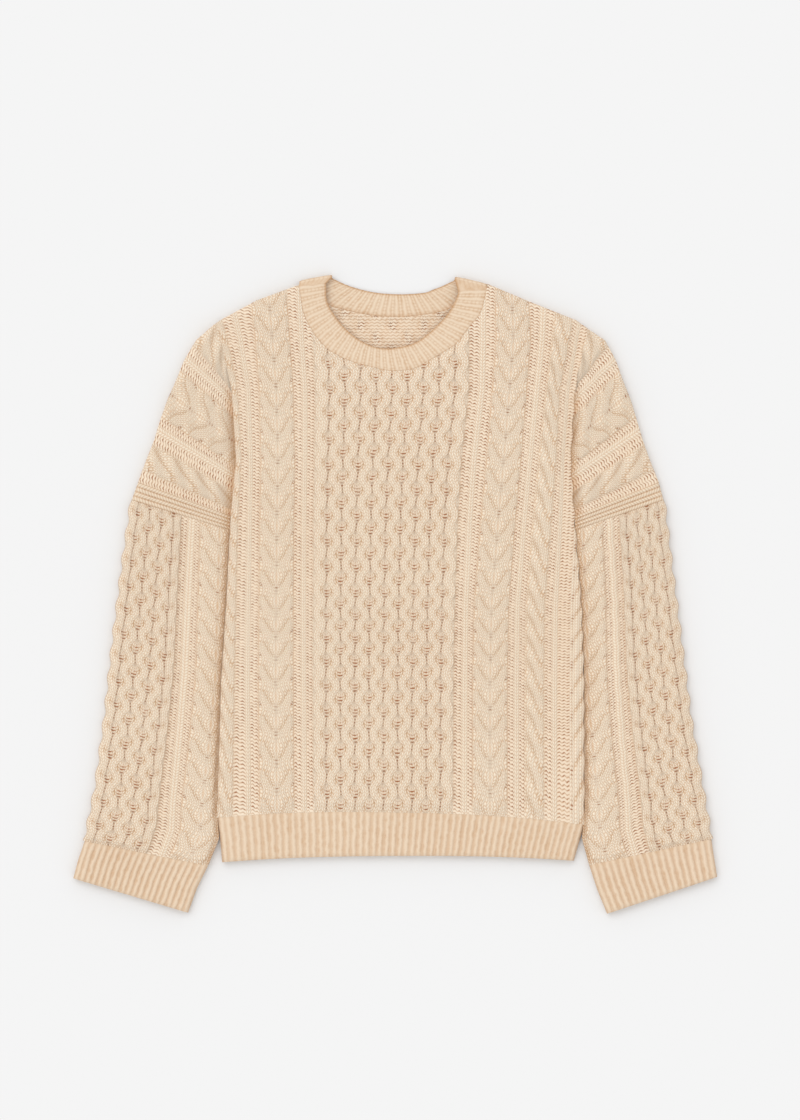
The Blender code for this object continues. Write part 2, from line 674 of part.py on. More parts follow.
def tube_rows(table, shares):
    """Outer end, inner end and slope width of the rows at shares of the tube's length."""
    table = np.array(table, float)
    at = np.linspace(0.0, 1.0, len(table))
    length = np.linalg.norm(np.diff(0.5 * (table[:, :2] + table[:, 2:4]), axis=0), axis=1)
    at[1:] = np.cumsum(length) / length.sum()
    found = np.array([np.interp(shares, at, table[:, k]) for k in range(table.shape[1])])
    start, end, slope = found[:2].T.copy(), found[2:4].T.copy(), found[4]
    for row, other in ((0, 1), (-1, -2)):
        along = 0.5 * (start[other] + end[other] - start[row] - end[row])
        step = 0.5 * SEAM_GAP * along / np.linalg.norm(along)
        start[row] += step
        end[row] += step
    return start, end, slope, found[5] if len(found) > 5 else np.zeros(len(shares))


def flat_tube(name, table, shares, columns, rises, bulge=None, side=None):
    """A tube laid flat: a raised top over a plain flat underside, with a thin hollow between.

    columns and rises have a row for each share of the length. bulge moves the outer edge out,
    and side says which side of the body the tube lies against.
    """
    start, end, slope, middle = tube_rows(table, shares)
    if side is not None:
        clear = body_side(end[:, 1], side)
        if side == 0:
            end[:, 0] = np.minimum(end[:, 0], clear - BODY_CLEAR)
        else:
            end[:, 0] = np.maximum(end[:, 0], clear + BODY_CLEAR)
    width = np.linalg.norm(end - start, axis=1)
    far = columns * width[:, None]
    away = width[:, None] - far
    low = 0.5 * FRONT_Z
    full = swell(far, EDGE_ROUND) * swell(away, 3.0)
    crease = ease(away / slope[:, None])
    drop = np.where(slope[:, None] > EDGE_ROUND, FRONT_Z - SEAM_Z, 0.0) * (1.0 - crease)
    narrow = np.where(slope[:, None] > EDGE_ROUND, 1.0, swell(away, EDGE_ROUND))
    height = low + (FRONT_Z - drop - low) * full * narrow
    top = height + rises * full * narrow * np.where(slope[:, None] > EDGE_ROUND, crease, 1.0)
    out = np.zeros(len(width)) if bulge is None else bulge
    ring_share = [columns - (out / width)[:, None] * (columns == 0.0)]
    ring_z = [top]
    for share, inset, z in UNDERSIDE:
        ring_share.append((share + inset / width)[:, None])
        ring_z.append(np.full((len(width), 1), z))
    ring_share, ring_z = np.hstack(ring_share), np.hstack(ring_z)
    outer = start[:, None] + ring_share[..., None] * (end - start)[:, None]
    outer[..., 1] += middle[:, None] * bend(ring_share)
    outer = np.dstack([outer, ring_z])
    outer_at = np.concatenate([columns[0], [2.0 - row[0] for row in UNDERSIDE]])
    outer_at[len(columns[0])] += 0.01
    outer_at[-1] -= 0.01
    keep = np.unique(np.append(np.arange(0, len(width), 4), len(width) - 1))
    hollow = np.array((WALL, 5.0, 9.0, 14.0))
    inner, count = [], 7
    for row in keep:
        wide = width[row]
        spread = np.linspace(14.0, wide - 24.0, count)[1:-1]
        place = np.concatenate([hollow, spread, wide - np.array((24.0, 16.0, 9.0, 5.0, WALL))])
        above = np.interp(place / wide, columns[row], height[row]) - WALL
        above = np.clip(above, BACK_TOP + 0.6, None)
        above[[0, -1]] = BACK_TOP + 0.5
        under = np.array([row[0] for row in UNDERSIDE[1:-1]]) * (wide - 10.0) + 5.0
        place = np.concatenate([place, under])
        above = np.concatenate([above, np.full(len(under), BACK_TOP)])
        where = start[row] + (place / wide)[:, None] * (end[row] - start[row])
        where[:, 1] += middle[row] * bend(place / wide)
        inner.append(np.column_stack([where, above]))
    wide = width[0]
    spread = np.linspace(14.0, wide - 24.0, count)[1:-1]
    inner_at = np.concatenate([hollow, spread, wide - np.array((24.0, 16.0, 9.0, 5.0, WALL))])
    inner_at = np.append(inner_at / wide, [2.0 - row[0] for row in UNDERSIDE[1:-1]])
    inner_at[-len(UNDERSIDE) + 2] += 0.02
    inner_at[-1] -= 0.02
    return ring_tube(name, outer, outer_at, np.array(inner), inner_at)


def make_sleeve(name, table, side):
    """A lower sleeve: honeycomb outside, a rib, and a staghorn cable towards the body."""
    rows = int(SLEEVE_REPEATS * ROWS_PER_REPEAT) + 1
    shares = np.linspace(0.0, 1.0, rows)
    repeat = -(SLEEVE_REPEATS * shares) - SLEEVE_PHASE
    places, total = honeycomb_columns(SLEEVE_HONEYCOMB_LINES, SLEEVE_FIRST_STRAND)
    columns, rises = [], []
    for number, line in enumerate(SLEEVE_LINES[:-1]):
        following = SLEEVE_LINES[number + 1]
        left = np.interp(shares, (0.0, 0.45, 1.0), line[1:])
        right = np.interp(shares, (0.0, 0.45, 1.0), following[1:])
        if line[0] == "honeycomb":
            for place in places:
                moved, lift = honeycomb_place(place, total, repeat, SLEEVE_HONEYCOMB_LINES)
                columns.append(left + moved * (right - left))
                rises.append(lift)
        else:
            for share in ACROSS[line[0]][:2 if line[0] == "edge" else None]:
                columns.append(left + share * (right - left))
                rises.append(knit_rise(line[0], share, repeat))
    columns.append(np.ones(rows))
    rises.append(np.zeros(rows))
    bulge = 1.2 - 1.2 * np.cos(2.0 * math.pi * repeat)
    flat_tube(name, table, shares, np.array(columns).T, np.array(rises).T, bulge, side)


def make_arm_band(name, table, side):
    """The ribbed band between a dropped shoulder and the sleeve, its ridges running round it."""
    shares = np.linspace(0.0, 1.0, 2 * BAND_RIDGES + 1)
    columns = np.concatenate([(0.0, 0.03, 0.08), np.linspace(0.15, 0.75, 5), (0.84, 0.93, 1.0)])
    ridge = BAND_RIDGE_RISE * (np.arange(len(shares)) % 2)
    flat_tube(name, table, shares, np.tile(columns, (len(shares), 1)),
              np.tile(ridge[:, None], (1, len(columns))), None, side)


def make_cuff(name, table, side):
    """A ribbed cuff, its ribs running towards the hand."""
    shares = np.linspace(0.0, 1.0, 3)
    columns = np.linspace(0.0, 1.0, 2 * CUFF_RIBS + 1)
    rises = RIB_RISE * (np.arange(len(columns)) % 2)
    flat_tube(name, table, shares, np.tile(columns, (3, 1)), np.tile(rises, (3, 1)), None, side)


def make_hem():
    """The ribbed hem: a wide tube whose ribs run down, in front and over its folds."""
    columns = np.linspace(0.0, 1.0, 2 * HEM_RIBS + 1)
    rises = RIB_RISE * (np.arange(len(columns)) % 2)
    flat_tube("hem", HEM_ROWS, np.linspace(0.0, 1.0, 3), np.tile(columns, (3, 1)),
              np.tile(rises, (3, 1)))


def make_neckband():
    """The ribbed neckband: a ring laid flat, folded over at both sides of the neck.

    Each station across the band has a point at the seam, one at the free edge and the direction
    that the garment's outside faces there.
    """
    front_seam = smooth_curve(NECK_SEAM, 2 * NECK_RIBS_FRONT + 1)
    front_edge = smooth_curve(NECK_EDGE, 2 * NECK_RIBS_FRONT + 1)
    back_seam = smooth_curve(BACK_SEAM, 2 * NECK_RIBS_BACK + 1)[::-1]
    back_edge = smooth_curve(BACK_EDGE, 2 * NECK_RIBS_BACK + 1)[::-1]
    high, low = FRONT_Z - 0.5 * NECK_THICK, 0.5 * NECK_THICK
    stations = []
    for number in range(1, len(front_seam) - 1):
        rise = NECK_RIB_RISE * (number % 2)
        stations.append((front_seam[number], front_edge[number], high, 0.0, rise, 0.0))
    corner = (back_seam[0], back_edge[0])
    for angle in (45.0, 90.0, 135.0):
        stations.append((*corner, None, angle, 0.0, 0.0))
    for number in range(1, len(back_seam) - 1):
        rise = NECK_RIB_RISE * (number % 2)
        stations.append((back_seam[number], back_edge[number], low, 180.0, 0.0, rise))
    corner = (back_seam[-1], back_edge[-1])
    for angle in (135.0, 90.0, 45.0):
        stations.append((*corner, None, angle, 0.0, 0.0))
    rings = []
    for seam, edge, height, angle, out_rise, in_rise in stations:
        turn = math.radians(angle)
        reach = NECK_FOLD_WIDE * math.sin(turn)
        z = height if height is not None else 0.5 * (high + low) + 0.5 * (high - low) * math.cos(turn)
        normal = np.array((0.0, math.sin(turn), math.cos(turn)))
        pull = (edge - seam) / np.linalg.norm(edge - seam)
        seam = seam + pull * SEAM_GAP
        for where, side, rise in (
            (seam, 1.0, 0.3 * out_rise), (edge, 1.0, out_rise),
            (edge, -1.0, in_rise), (seam, -1.0, 0.3 * in_rise),
        ):
            middle = np.array((where[0], where[1] + reach, z))
            rings.append(middle + side * normal * (0.5 * NECK_THICK + rise))
    rings = np.array(rings).reshape(-1, 4, 3)
    index = np.arange(rings.shape[0] * 4).reshape(-1, 4)
    index = np.vstack([index, index[:1]])
    index = np.column_stack([index, index[:, 0]])
    make_object("neckband", rings.reshape(-1, 3), grid_faces(index), YARN_COLOUR)


def main():
    """Makes every piece."""
    clear_scene()
    make_back()
    make_front()
    make_arm_band("arm_band_left", BAND_ROWS_LEFT, 0)
    make_arm_band("arm_band_right", BAND_ROWS_RIGHT, 1)
    make_sleeve("sleeve_left", SLEEVE_ROWS_LEFT, 0)
    make_sleeve("sleeve_right", SLEEVE_ROWS_RIGHT, 1)
    make_cuff("cuff_left", CUFF_ROWS_LEFT, 0)
    make_cuff("cuff_right", CUFF_ROWS_RIGHT, 1)
    make_hem()
    make_neckband()


main()
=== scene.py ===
"""A cable knit sweater laid flat on a pale floor and seen from straight above.

Lengths in the tables are in millimetres, with the sweater's neck towards +Y.
"""

import math
from functools import partial

import bpy
import numpy as np
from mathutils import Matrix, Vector
from mathutils.geometry import delaunay_2d_cdt


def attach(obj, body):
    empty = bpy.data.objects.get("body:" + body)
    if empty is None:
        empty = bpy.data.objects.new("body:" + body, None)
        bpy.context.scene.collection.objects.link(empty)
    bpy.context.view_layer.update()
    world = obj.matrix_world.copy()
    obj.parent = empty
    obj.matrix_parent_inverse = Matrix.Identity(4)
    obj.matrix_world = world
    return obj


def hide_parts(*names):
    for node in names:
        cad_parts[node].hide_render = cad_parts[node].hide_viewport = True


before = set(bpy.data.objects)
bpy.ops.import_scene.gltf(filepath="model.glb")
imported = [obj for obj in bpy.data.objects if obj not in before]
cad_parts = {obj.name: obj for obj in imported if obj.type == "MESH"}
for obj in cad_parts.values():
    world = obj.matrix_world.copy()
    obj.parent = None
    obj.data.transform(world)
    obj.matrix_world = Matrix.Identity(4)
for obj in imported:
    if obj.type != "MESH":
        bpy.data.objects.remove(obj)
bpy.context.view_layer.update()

# ---- Studio ----
# A pale floor under even daylight, with a broad soft light from above and a little to the
# left. The camera looks straight down through a long lens.
VIEW_LONG = 1.1872  # metres of floor along the view's long side
CAMERA_HEIGHT = 6.0
CAMERA_OVER = (0.00506, 0.0360)
CAMERA_REACH = 50.0
CLOTH_TOP = 0.01  # the camera's height counts from here
FILM_WIDE = 36.0
FLOOR_HALF = 4.5
FLOOR_Z = -0.0004
FLOOR_COLOUR = (0.80, 0.80, 0.80, 1.0)
SKY_STRENGTH = 0.95
SUN_STRENGTH = 0.72
SUN_SOFTNESS = math.radians(50)
SUN_FROM = (-0.55, 0.62, 1.25)

scene = bpy.context.scene
scene.view_settings.view_transform = "Standard"
scene.view_settings.look = "None"

floor_mesh = bpy.data.meshes.new("floor")
floor_corners = [(x * FLOOR_HALF, y * FLOOR_HALF, FLOOR_Z)
                 for x, y in ((-1, -1), (1, -1), (1, 1), (-1, 1))]
floor_mesh.from_pydata(floor_corners, [], [(0, 1, 2, 3)])
floor = bpy.data.objects.new("floor", floor_mesh)
scene.collection.objects.link(floor)
floor_paint = bpy.data.materials.new("floor_paint")
floor_paint.use_nodes = True
paint = floor_paint.node_tree.nodes["Principled BSDF"]
paint.inputs["Base Color"].default_value = FLOOR_COLOUR
paint.inputs["Roughness"].default_value = 1.0
paint.inputs["Specular IOR Level"].default_value = 0.0
floor_mesh.materials.append(floor_paint)

sky = bpy.data.worlds.new("sky")
sky.use_nodes = True
background = sky.node_tree.nodes["Background"]
background.inputs["Color"].default_value = (1.0, 1.0, 1.0, 1.0)
background.inputs["Strength"].default_value = SKY_STRENGTH
scene.world = sky

sun_data = bpy.data.lights.new("soft_sun", "SUN")
sun_data.energy = SUN_STRENGTH
sun_data.angle = SUN_SOFTNESS
sun = bpy.data.objects.new("soft_sun", sun_data)
scene.collection.objects.link(sun)
away = np.array(SUN_FROM) / np.linalg.norm(SUN_FROM)
sun.rotation_euler = (math.acos(away[2]), 0.0, math.atan2(away[0], -away[1]))

camera_data = bpy.data.cameras.new("camera")
camera_data.sensor_width = FILM_WIDE
camera_data.lens = FILM_WIDE * CAMERA_HEIGHT / VIEW_LONG
camera_data.clip_end = CAMERA_REACH
camera = bpy.data.objects.new("camera", camera_data)
camera.location = (*CAMERA_OVER, CAMERA_HEIGHT + CLOTH_TOP)
scene.collection.objects.link(camera)
scene.camera = camera

# ---- Front panel ----
# One knitted panel of thick cream yarn: a honeycomb in the middle, then ladders of purl,
# single ribs, a staghorn cable and a rope on each side. It is knitted from the hem up, and
# its neckline is cut to the neckband's seam.
TURN = 2.0 * math.pi
MM = 0.001  # metres in a millimetre
FAR_OFF = 999.0
SIDES = ("left", "right")
PLACE = np.array((-1.3, -1.6, 0.0))  # from the tables' middle to the garment's middle
WALL = 3.0
BACK_TOP = 3.0
SEAM_Z = 6.3
FRONT_Z = 9.6
SEAM_GAP = 0.06
EDGE_ROUND = 9.0
FOLD_FULL = 0.35  # height of the side folds' edges, as a share of the way from seam to front
COURSES = 8  # rows of stitches in one repeat of the cables
WALE_WIDE = 4.7
COURSE_TALL = 3.4
CABLE_RISE = {"honeycomb": 4.0, "staghorn": 3.4, "rope": 3.4, "rib": 1.1}
ARMPIT = 16.0  # repeats from the hem to the top of the side folds' crease
CREASE_FADE = 20.0

# Height y of some of the cable repeats, counted from the hem.
REPEATS = np.array((
    (-232.7, -0.75), (-209.4, 0.0), (-147.9, 2.0), (-68.4, 5.0), (4.8, 8.0), (221.0, 16.0),
    (329.0, 20.0), (342.5, 20.5),
))
LEVELS = (-229.5, -92.8, -11.1, 82.2, 143.6, 218.9, 270.8, 313.2)
# Column lines from left to right: the knit that starts there, then x at each level.
FRONT_LINES = (
    ("rope", -187.6, -183.4, -178.1, -173.3, -167.5, -172.3, -183.4, -194.0),
    ("ladder", -170.7, -168.5, -167.0, -164.8, -161.5, -165.4, -176.0, -187.6),
    ("rib", -156.4, -157.9, -156.9, -155.3, -154.2, -156.9, -165.4, -174.9),
    ("ladder", -151.6, -152.9, -152.0, -150.5, -149.5, -152.1, -160.1, -169.6),
    ("staghorn", -142.6, -144.1, -143.3, -142.3, -141.2, -143.1, -147.3, -151.6),
    ("ladder", -105.5, -106.6, -106.6, -105.8, -104.7, -106.5, -110.2, -113.4),
    ("rib", -97.5, -98.1, -98.3, -97.9, -97.0, -97.0, -100.7, -102.8),
    ("ladder", -92.2, -93.1, -93.2, -92.9, -91.9, -91.7, -95.4, -97.5),
    ("honeycomb", -84.8, -85.9, -85.6, -85.2, -84.2, -83.2, -85.9, -88.0),
    ("ladder", 62.5, 63.1, 64.7, 67.8, 71.6, 79.5, 79.5, 79.5),
    ("rib", 71.6, 72.1, 73.1, 77.4, 81.6, 90.1, 91.2, 91.2),
    ("ladder", 77.4, 77.9, 79.0, 83.2, 87.5, 96.5, 97.5, 97.5),
    ("staghorn", 83.2, 83.2, 84.8, 92.2, 97.8, 104.2, 108.1, 107.1),
    ("ladder", 120.3, 120.3, 121.9, 129.3, 134.9, 141.0, 145.2, 143.1),
    ("rib", 127.2, 127.2, 128.3, 135.7, 141.5, 148.4, 153.7, 154.8),
    ("ladder", 132.5, 132.5, 133.6, 141.0, 146.8, 154.8, 160.1, 162.2),
    ("rope", 138.9, 138.9, 139.9, 147.3, 153.2, 161.1, 167.5, 171.7),
    ("ladder", 159.5, 159.5, 160.6, 168.0, 172.8, 176.5, 186.6, 194.0),
    ("rib", 167.5, 167.5, 168.5, 174.4, 177.0, 182.0, 191.0, 198.5),
    ("edge", 172.8, 172.8, 173.8, 178.5, 180.5, 186.0, 195.0, 203.0),
    ("end", 201.9, 201.4, 198.8, 191.3, 187.2, 191.9, 202.0, 210.0),
)
FOLDS = (0, len(FRONT_LINES) - 1)  # column lines of the left and the right side fold
# Full widths of the first and the last knit, which turn in part over the side folds.
FULL_WIDTH = {0: 19.0, 19: 29.0}
# Steps of the surface across one strip of each knit.
STEPS = {"rope": 12, "ladder": 6, "rib": 4, "staghorn": 36, "edge": 20}
FRONT_STEPS_A_REPEAT = 13
HONEYCOMB_LINES = 9
HONEYCOMB_PITCH = 15.0
OUTER_STRAND = 0.9
EDGE_SCALLOP = 0.7  # how far the right fold swings with the cable beside it
EDGE_NOTCH = 0.57  # where in a repeat it is drawn in
HEM_BEND = 60.0  # how far up from the hem the rows bend to its seam
NECK_FADE = 8.0  # widths over which relief and painted gap shade fade in from the seams
HEM_FADE = 11.0
HEM_GAP_FADE = 6.0
# Painted shade in hollows: how strong it is, and the depth under the mean height at which it is
# full.
HOLLOW_SHADE = 0.2
HOLLOW_DEEP = 2.2
CURVE_STEPS = 8  # from one point of a curve's table to the next
NECK_POINTS = 141
SETTLE_PASSES = 5
SHEET_STEP = 12.0
WALL_RINGS = ((0.0, 0.5), (0.05, 1.0))  # each ring's inset, and its share of the way down
ON_FLOOR = (1.0, 1.0, 0.0)

SHOULDER_LEFT = (
    (-67.8, 335.5), (-101.8, 329.1), (-145.2, 313.2), (-184.4, 292.0), (-192.9, 285.7),
    (-209.9, 270.8), (-222.6, 249.6), (-231.1, 228.4), (-240.6, 207.2), (-248.0, 186.0),
    (-254.4, 164.8), (-262.9, 143.6), (-271.4, 120.3),
)
SHOULDER_RIGHT = (
    (66.8, 336.1), (98.6, 330.7), (139.9, 313.2), (192.9, 292.0), (209.0, 280.5),
    (223.7, 270.8), (235.3, 249.6), (242.7, 228.4), (251.2, 207.2), (257.6, 186.0),
    (263.9, 164.8), (271.4, 143.6), (280.8, 120.3),
)
NECK_SEAM = (
    (-100.7, 330.2), (-96.5, 300.5), (-85.9, 279.3), (-74.2, 264.5), (-62.5, 256.0),
    (-46.6, 248.6), (-21.2, 241.7), (-3.2, 238.0), (14.8, 239.0), (24.4, 241.7),
    (35.0, 247.5), (52.5, 258.1), (65.7, 266.6), (80.6, 285.7), (92.2, 300.5), (98.6, 326.5),
)
# Seam between front and hem rib: left end x, y, right end x, y, rise of the middle.
HEM_SEAM = (-187.6, -235.9, 201.9, -243.3, 9.6)
# Soft hollows of the laid cloth: x, y, half length, half width, turn from +Y, depth.
HOLLOWS = (
    (-122.0, 60.0, 150.0, 26.0, 2.0, 0.5), (-40.0, -60.0, 120.0, 30.0, -6.0, 0.7),
    (40.0, 40.0, 150.0, 28.0, 5.0, 0.6), (148.0, -120.0, 90.0, 22.0, -3.0, 0.9),
    (-5.0, 190.0, 60.0, 40.0, 80.0, 0.6), (-150.0, -150.0, 70.0, 20.0, 8.0, 0.7),
    (112.0, 160.0, 90.0, 18.0, -4.0, 0.5), (-225.0, 90.0, 40.0, 14.0, 62.0, 0.9),
    (238.0, 92.0, 40.0, 14.0, -62.0, 0.9), (-250.0, -60.0, 110.0, 18.0, -7.0, 0.7),
    (262.0, -80.0, 110.0, 18.0, 7.0, 0.8), (-265.0, -215.0, 60.0, 16.0, -40.0, 0.9),
    (280.0, -205.0, 60.0, 16.0, 38.0, 0.8),
)


def read_off(table, x):
    """The second value of a table's pairs where the first is x, straight between its rows."""
    return np.interp(x, *np.asarray(table).T)


def repeat_at(y):
    """The number of the cable repeat at height y."""
    return read_off(REPEATS, y)


def height_of(repeat):
    """The height y of a cable repeat."""
    return read_off(REPEATS[:, ::-1], repeat)


def line_x(number, y):
    """The x of a column line at height y. The right fold swings by a cosine of the repeat."""
    x = np.interp(y, LEVELS, FRONT_LINES[number][1:])
    if number == FOLDS[1]:
        x = x - EDGE_SCALLOP * np.cos(TURN * (repeat_at(y) - EDGE_NOTCH))
    return x


def held(share):
    """A share held between 0 and 1."""
    return np.clip(share, 0.0, 1.0)


def arc(across, power=2.0):
    """A back of 1 in the middle and 0 at 1 and -1: the root of 1 less a power of across."""
    return np.sqrt(held(1.0 - np.abs(across) ** power))


def swell(distance, wide):
    """A quarter circle that rises from 0 at an edge to 1 at the distance called wide."""
    return arc(1.0 - held(distance / wide))


def soft_swell(distance, wide):
    """A parabola that rises from 0 at an edge to 1 at the distance called wide."""
    return 1.0 - (1.0 - held(distance / wide)) ** 2


def ease(share):
    """A smooth step from 0 to 1: three squares less two cubes."""
    share = held(share)
    return share * share * (3.0 - 2.0 * share)


def along_line(points):
    """Distance along a line of points, from the first one."""
    return np.append(0.0, np.cumsum(np.linalg.norm(np.diff(points, axis=0), axis=1)))


def smooth_line(table, count):
    """Points at even steps along a Catmull-Rom curve through a table's points."""
    line = np.array(table, float)
    line = np.vstack([2 * line[0] - line[1], line, 2 * line[-1] - line[-2]])
    share = np.arange(CURVE_STEPS)[:, None] / CURVE_STEPS
    before, here, there, after = (line[k: len(line) - 3 + k, None] for k in range(4))
    fine = 0.5 * (2 * here + (there - before) * share
                  + (2 * before - 5 * here + 4 * there - after) * share ** 2
                  + (3 * here - before - 3 * there + after) * share ** 3)
    fine = np.vstack([fine.reshape(-1, 2), line[-2]])
    far = along_line(fine)
    steps = np.linspace(0.0, far[-1], count)
    return np.column_stack([np.interp(steps, far, part) for part in fine.T])


def sag(x, y):
    """Depth of the laid cloth's soft hollows: a sum of long bells, one for each table row."""
    depth = 0.0 * x
    for at_x, at_y, long, wide, turn, deep in HOLLOWS:
        c, s = math.cos(math.radians(turn)), math.sin(math.radians(turn))
        along = ((y - at_y) * c + (x - at_x) * s) / long
        across = ((x - at_x) * c - (y - at_y) * s) / wide
        depth = depth + deep * np.exp(-along ** 2 - across ** 2)
    return depth


def shoulder_y(x):
    """The shoulder line over x, carried straight across the neck."""
    return read_off(sorted(SHOULDER_LEFT[:5]) + sorted(SHOULDER_RIGHT[:5]), x)


def bend_of(share):
    """0 at both ends and 1 in the middle, for the bend of a long edge."""
    return 1.0 - np.abs(2.0 * held(share) - 1.0) ** 2.5


def hem_y(x):
    """The seam over the hem rib: a straight line with its middle lifted."""
    left, left_y, right, right_y, rise = HEM_SEAM
    share = held((x - left) / (right - left))
    return left_y + share * (right_y - left_y) + rise * bend_of(share)


def bell(far, wide):
    """A bell of 1 at no distance, and 1/e at the distance called wide."""
    return np.exp(-(far / wide) ** 2)


def bow(place, climb, fall):
    """A strand's back from one valley to the next: a smooth climb, a flat top, a smooth fall."""
    return ease(place / climb) * ease((1.0 - place) / fall)


def knit_of(rise, wale, course, row=None, purl=0.0, gap=0.0, warm=0.0):
    """A knit's relief and its marks, painted shade and painted gap shade among them. Legs of
    stitches follow its rows and bars its courses.
    """
    row = course if row is None else row
    return dict(rise=rise, wale=wale, row=row, course=course, purl=purl, gap=gap, warm=warm)


# Every knit takes its share of the way across, its repeat and the way that its rows slant,
# which only a ladder's dashes show.
def ladder(share, repeat, turn):
    """Two wales of purl: low and flat, with short slanting dashes of painted gap shade between
    the loops of both, and a little painted shade all over.
    """
    course = COURSES * repeat + turn * (share - 0.25)
    dashes = bell(share - 0.25, 0.13) + bell(share - 0.75, 0.13)
    return knit_of(0.25 * dashes, 2.0 * share, course, purl=1.0, gap=1.1 * dashes, warm=0.2)


def single_rib(share, repeat, turn):
    """One raised wale of plain knit: half a circle across, with a little painted shade down its
    sides.
    """
    back = arc(2.0 * share - 1.0)
    return knit_of(CABLE_RISE["rib"] * back, share, COURSES * repeat, warm=0.1 * (1.0 - back))


STAG_CLIMB = 0.27  # repeats that a strand's lower edge climbs from the middle to the edge
# A strand's upper edge: way out from the middle, and repeats that it has climbed there.
STAG_VALLEY = np.array((
    (0.0, 0.13), (0.12, 0.17), (0.28, 0.26), (0.41, 0.38), (0.52, 0.52), (0.60, 0.63),
    (0.70, 0.72), (0.82, 0.77), (1.0, 0.80),
))
STAG_TALL = 1.4  # a repeat's height in half widths of the cable
STAG_LEAN = 0.13  # swing of the wales across half of the cable
STAG_WAY = 0.06  # way out to both sides over which a valley's slope is taken


def staghorn(share, repeat, turn):
    """Pale strands that start at the middle, sweep up and out and run on upright, and soft
    valleys over them in the shape of an S, read off the table. The valleys, the strands' lower
    edges near the cable's sides and the sides themselves get painted shade, and dots down the
    middle and strokes at the edges get painted gap shade.

    A strand's lower edge climbs by the cube of its way out, and the wales swing by a cosine of
    the repeat.
    """
    out = np.abs(2.0 * share - 1.0)
    lower = STAG_CLIMB * out ** 3
    up = repeat - np.floor(repeat - lower)
    valley, after, before = (read_off(STAG_VALLEY, way)
                             for way in (out, out + STAG_WAY, out - STAG_WAY))
    steep = np.hypot(1.0, STAG_TALL * (after - before) / (2.0 * STAG_WAY))
    over = repeat - valley - np.floor(repeat - valley)
    under = (1.0 - over) / steep
    over = over / steep
    hollow = 0.6 * (np.exp(-over / 0.06) + bell(under, 0.03)) + 0.4 * np.exp(-over / 0.2)
    hollow = held(hollow) * ease((out - 0.02) / 0.2)
    hollow = hollow * (1.0 - 0.25 * ease((out - 0.6) / 0.3))
    tail = bell(up - lower, 0.06) * ease((out - 0.7) / 0.2)
    edge = arc(out, 7.0 - 3.5 * held(tail))
    middle = bell(out, 0.07)
    rise = edge * (1.0 - 0.32 * hollow - 0.3 * tail - 0.06 * middle)
    rows = COURSES * (repeat - np.round(repeat))
    dots = middle * (0.2 + 0.8 * bell(rows - 0.5, 1.0))
    strokes = 1.3 * bell(up - lower, 0.12) * bell(out - 0.93, 0.12)
    swing = np.cos(TURN * (up - 0.05)) * np.sin(math.pi * out) ** 0.7
    return knit_of(
        CABLE_RISE["staghorn"] * rise, 4.0 * (1.0 - out - STAG_LEAN * swing),
        COURSES * repeat + 4.0 * out * out, COURSES * repeat + 3.0 * out, gap=dots + strokes,
        warm=0.72 * hollow + 0.4 * tail + 0.15 * (1.0 - edge),
    )


# A rope's valley: share of its width and repeats that the valley has fallen.
ROPE_VALLEY = np.array((
    (0.0, -0.34), (0.27, 0.0), (0.4, 0.2), (0.5, 0.4), (0.6, 0.64), (0.70, 0.82),
    (0.84, 0.93), (1.0, 0.98),
))
ROPE_START = 0.22


def rope(share, repeat, turn):
    """Two strands of three wales that cross over each other once a repeat.

    The valley between them falls in the shape of an S, read off the table. The valley and the
    rope's sides get painted shade, and the valley's end at the right edge gets painted gap
    shade.
    """
    strand = repeat + read_off(ROPE_VALLEY, share) + ROPE_START
    place = strand - np.floor(strand)
    back = bow(place, 0.18, 0.34)
    edge = arc(2.0 * share - 1.0, 3.0 + 3.0 * back)
    return knit_of(
        CABLE_RISE["rope"] * edge * (0.66 + 0.34 * back),
        4.0 * share + 0.3 * np.sin(TURN * (repeat + 0.7 * share)),
        COURSES * repeat + 3.0 * share, COURSES * repeat - 2.0 * share,
        gap=0.7 * (1.0 - ease(place / 0.2)) * bell(share - 0.92, 0.08),
        warm=0.65 * ((1.0 - back) * edge) + 0.2 * (1.0 - edge),
    )


EDGE_HOLES = 0.54  # share of the edge knit's width where its line of holes lies
EDGE_PURL = 0.48  # and where its purl ends
EDGE_HOLE_REPEAT = 0.76
EDGE_CLIMB = 0.75


def edge_knit(share, repeat, turn):
    """The knit beside the right fold: purl, a line of holes, then the half of a cable whose
    valleys climb towards the fold. The purl and the cable's valleys get painted shade, and the
    holes and the gaps between purl loops get painted gap shade."""
    course = COURSES * repeat
    purl = ease((EDGE_PURL - share) / 0.04)
    group = repeat - EDGE_HOLE_REPEAT
    holes = bell(share - EDGE_HOLES, 0.04) * bell(COURSES * (group - np.round(group)), 1.6)
    way = held((share - EDGE_HOLES) / (1.0 - EDGE_HOLES))
    place = repeat - EDGE_NOTCH + EDGE_CLIMB * (1.0 - way)
    back = bow(place - np.floor(place), 0.2, 0.3)
    cable = ease(way / 0.3)
    gaps = np.sin(3.0 * math.pi * share / EDGE_PURL) ** 2
    return knit_of(
        cable * (1.3 + 1.5 * back), 3.0 * share / EDGE_HOLES, course + share, course + 3.0 * way,
        purl, 0.8 * purl * gaps + 1.2 * holes,
        0.35 * purl - 0.1 * cable + 0.9 * cable * (1.0 - back) ** 1.5,
    )


KNITS = {"ladder": ladder, "rib": single_rib, "staghorn": staghorn, "rope": rope,
         "edge": edge_knit}
GAP_STEPS = 3
STRAND_STEPS = 8
STRAND_HALF = 0.355  # half of a strand's width, in distances between two lines
STRAND_SWING = 0.22
STRAND_SIDE = 0.72  # height of a strand's side, as a share of its back
STRAND_EDGE = 0.015


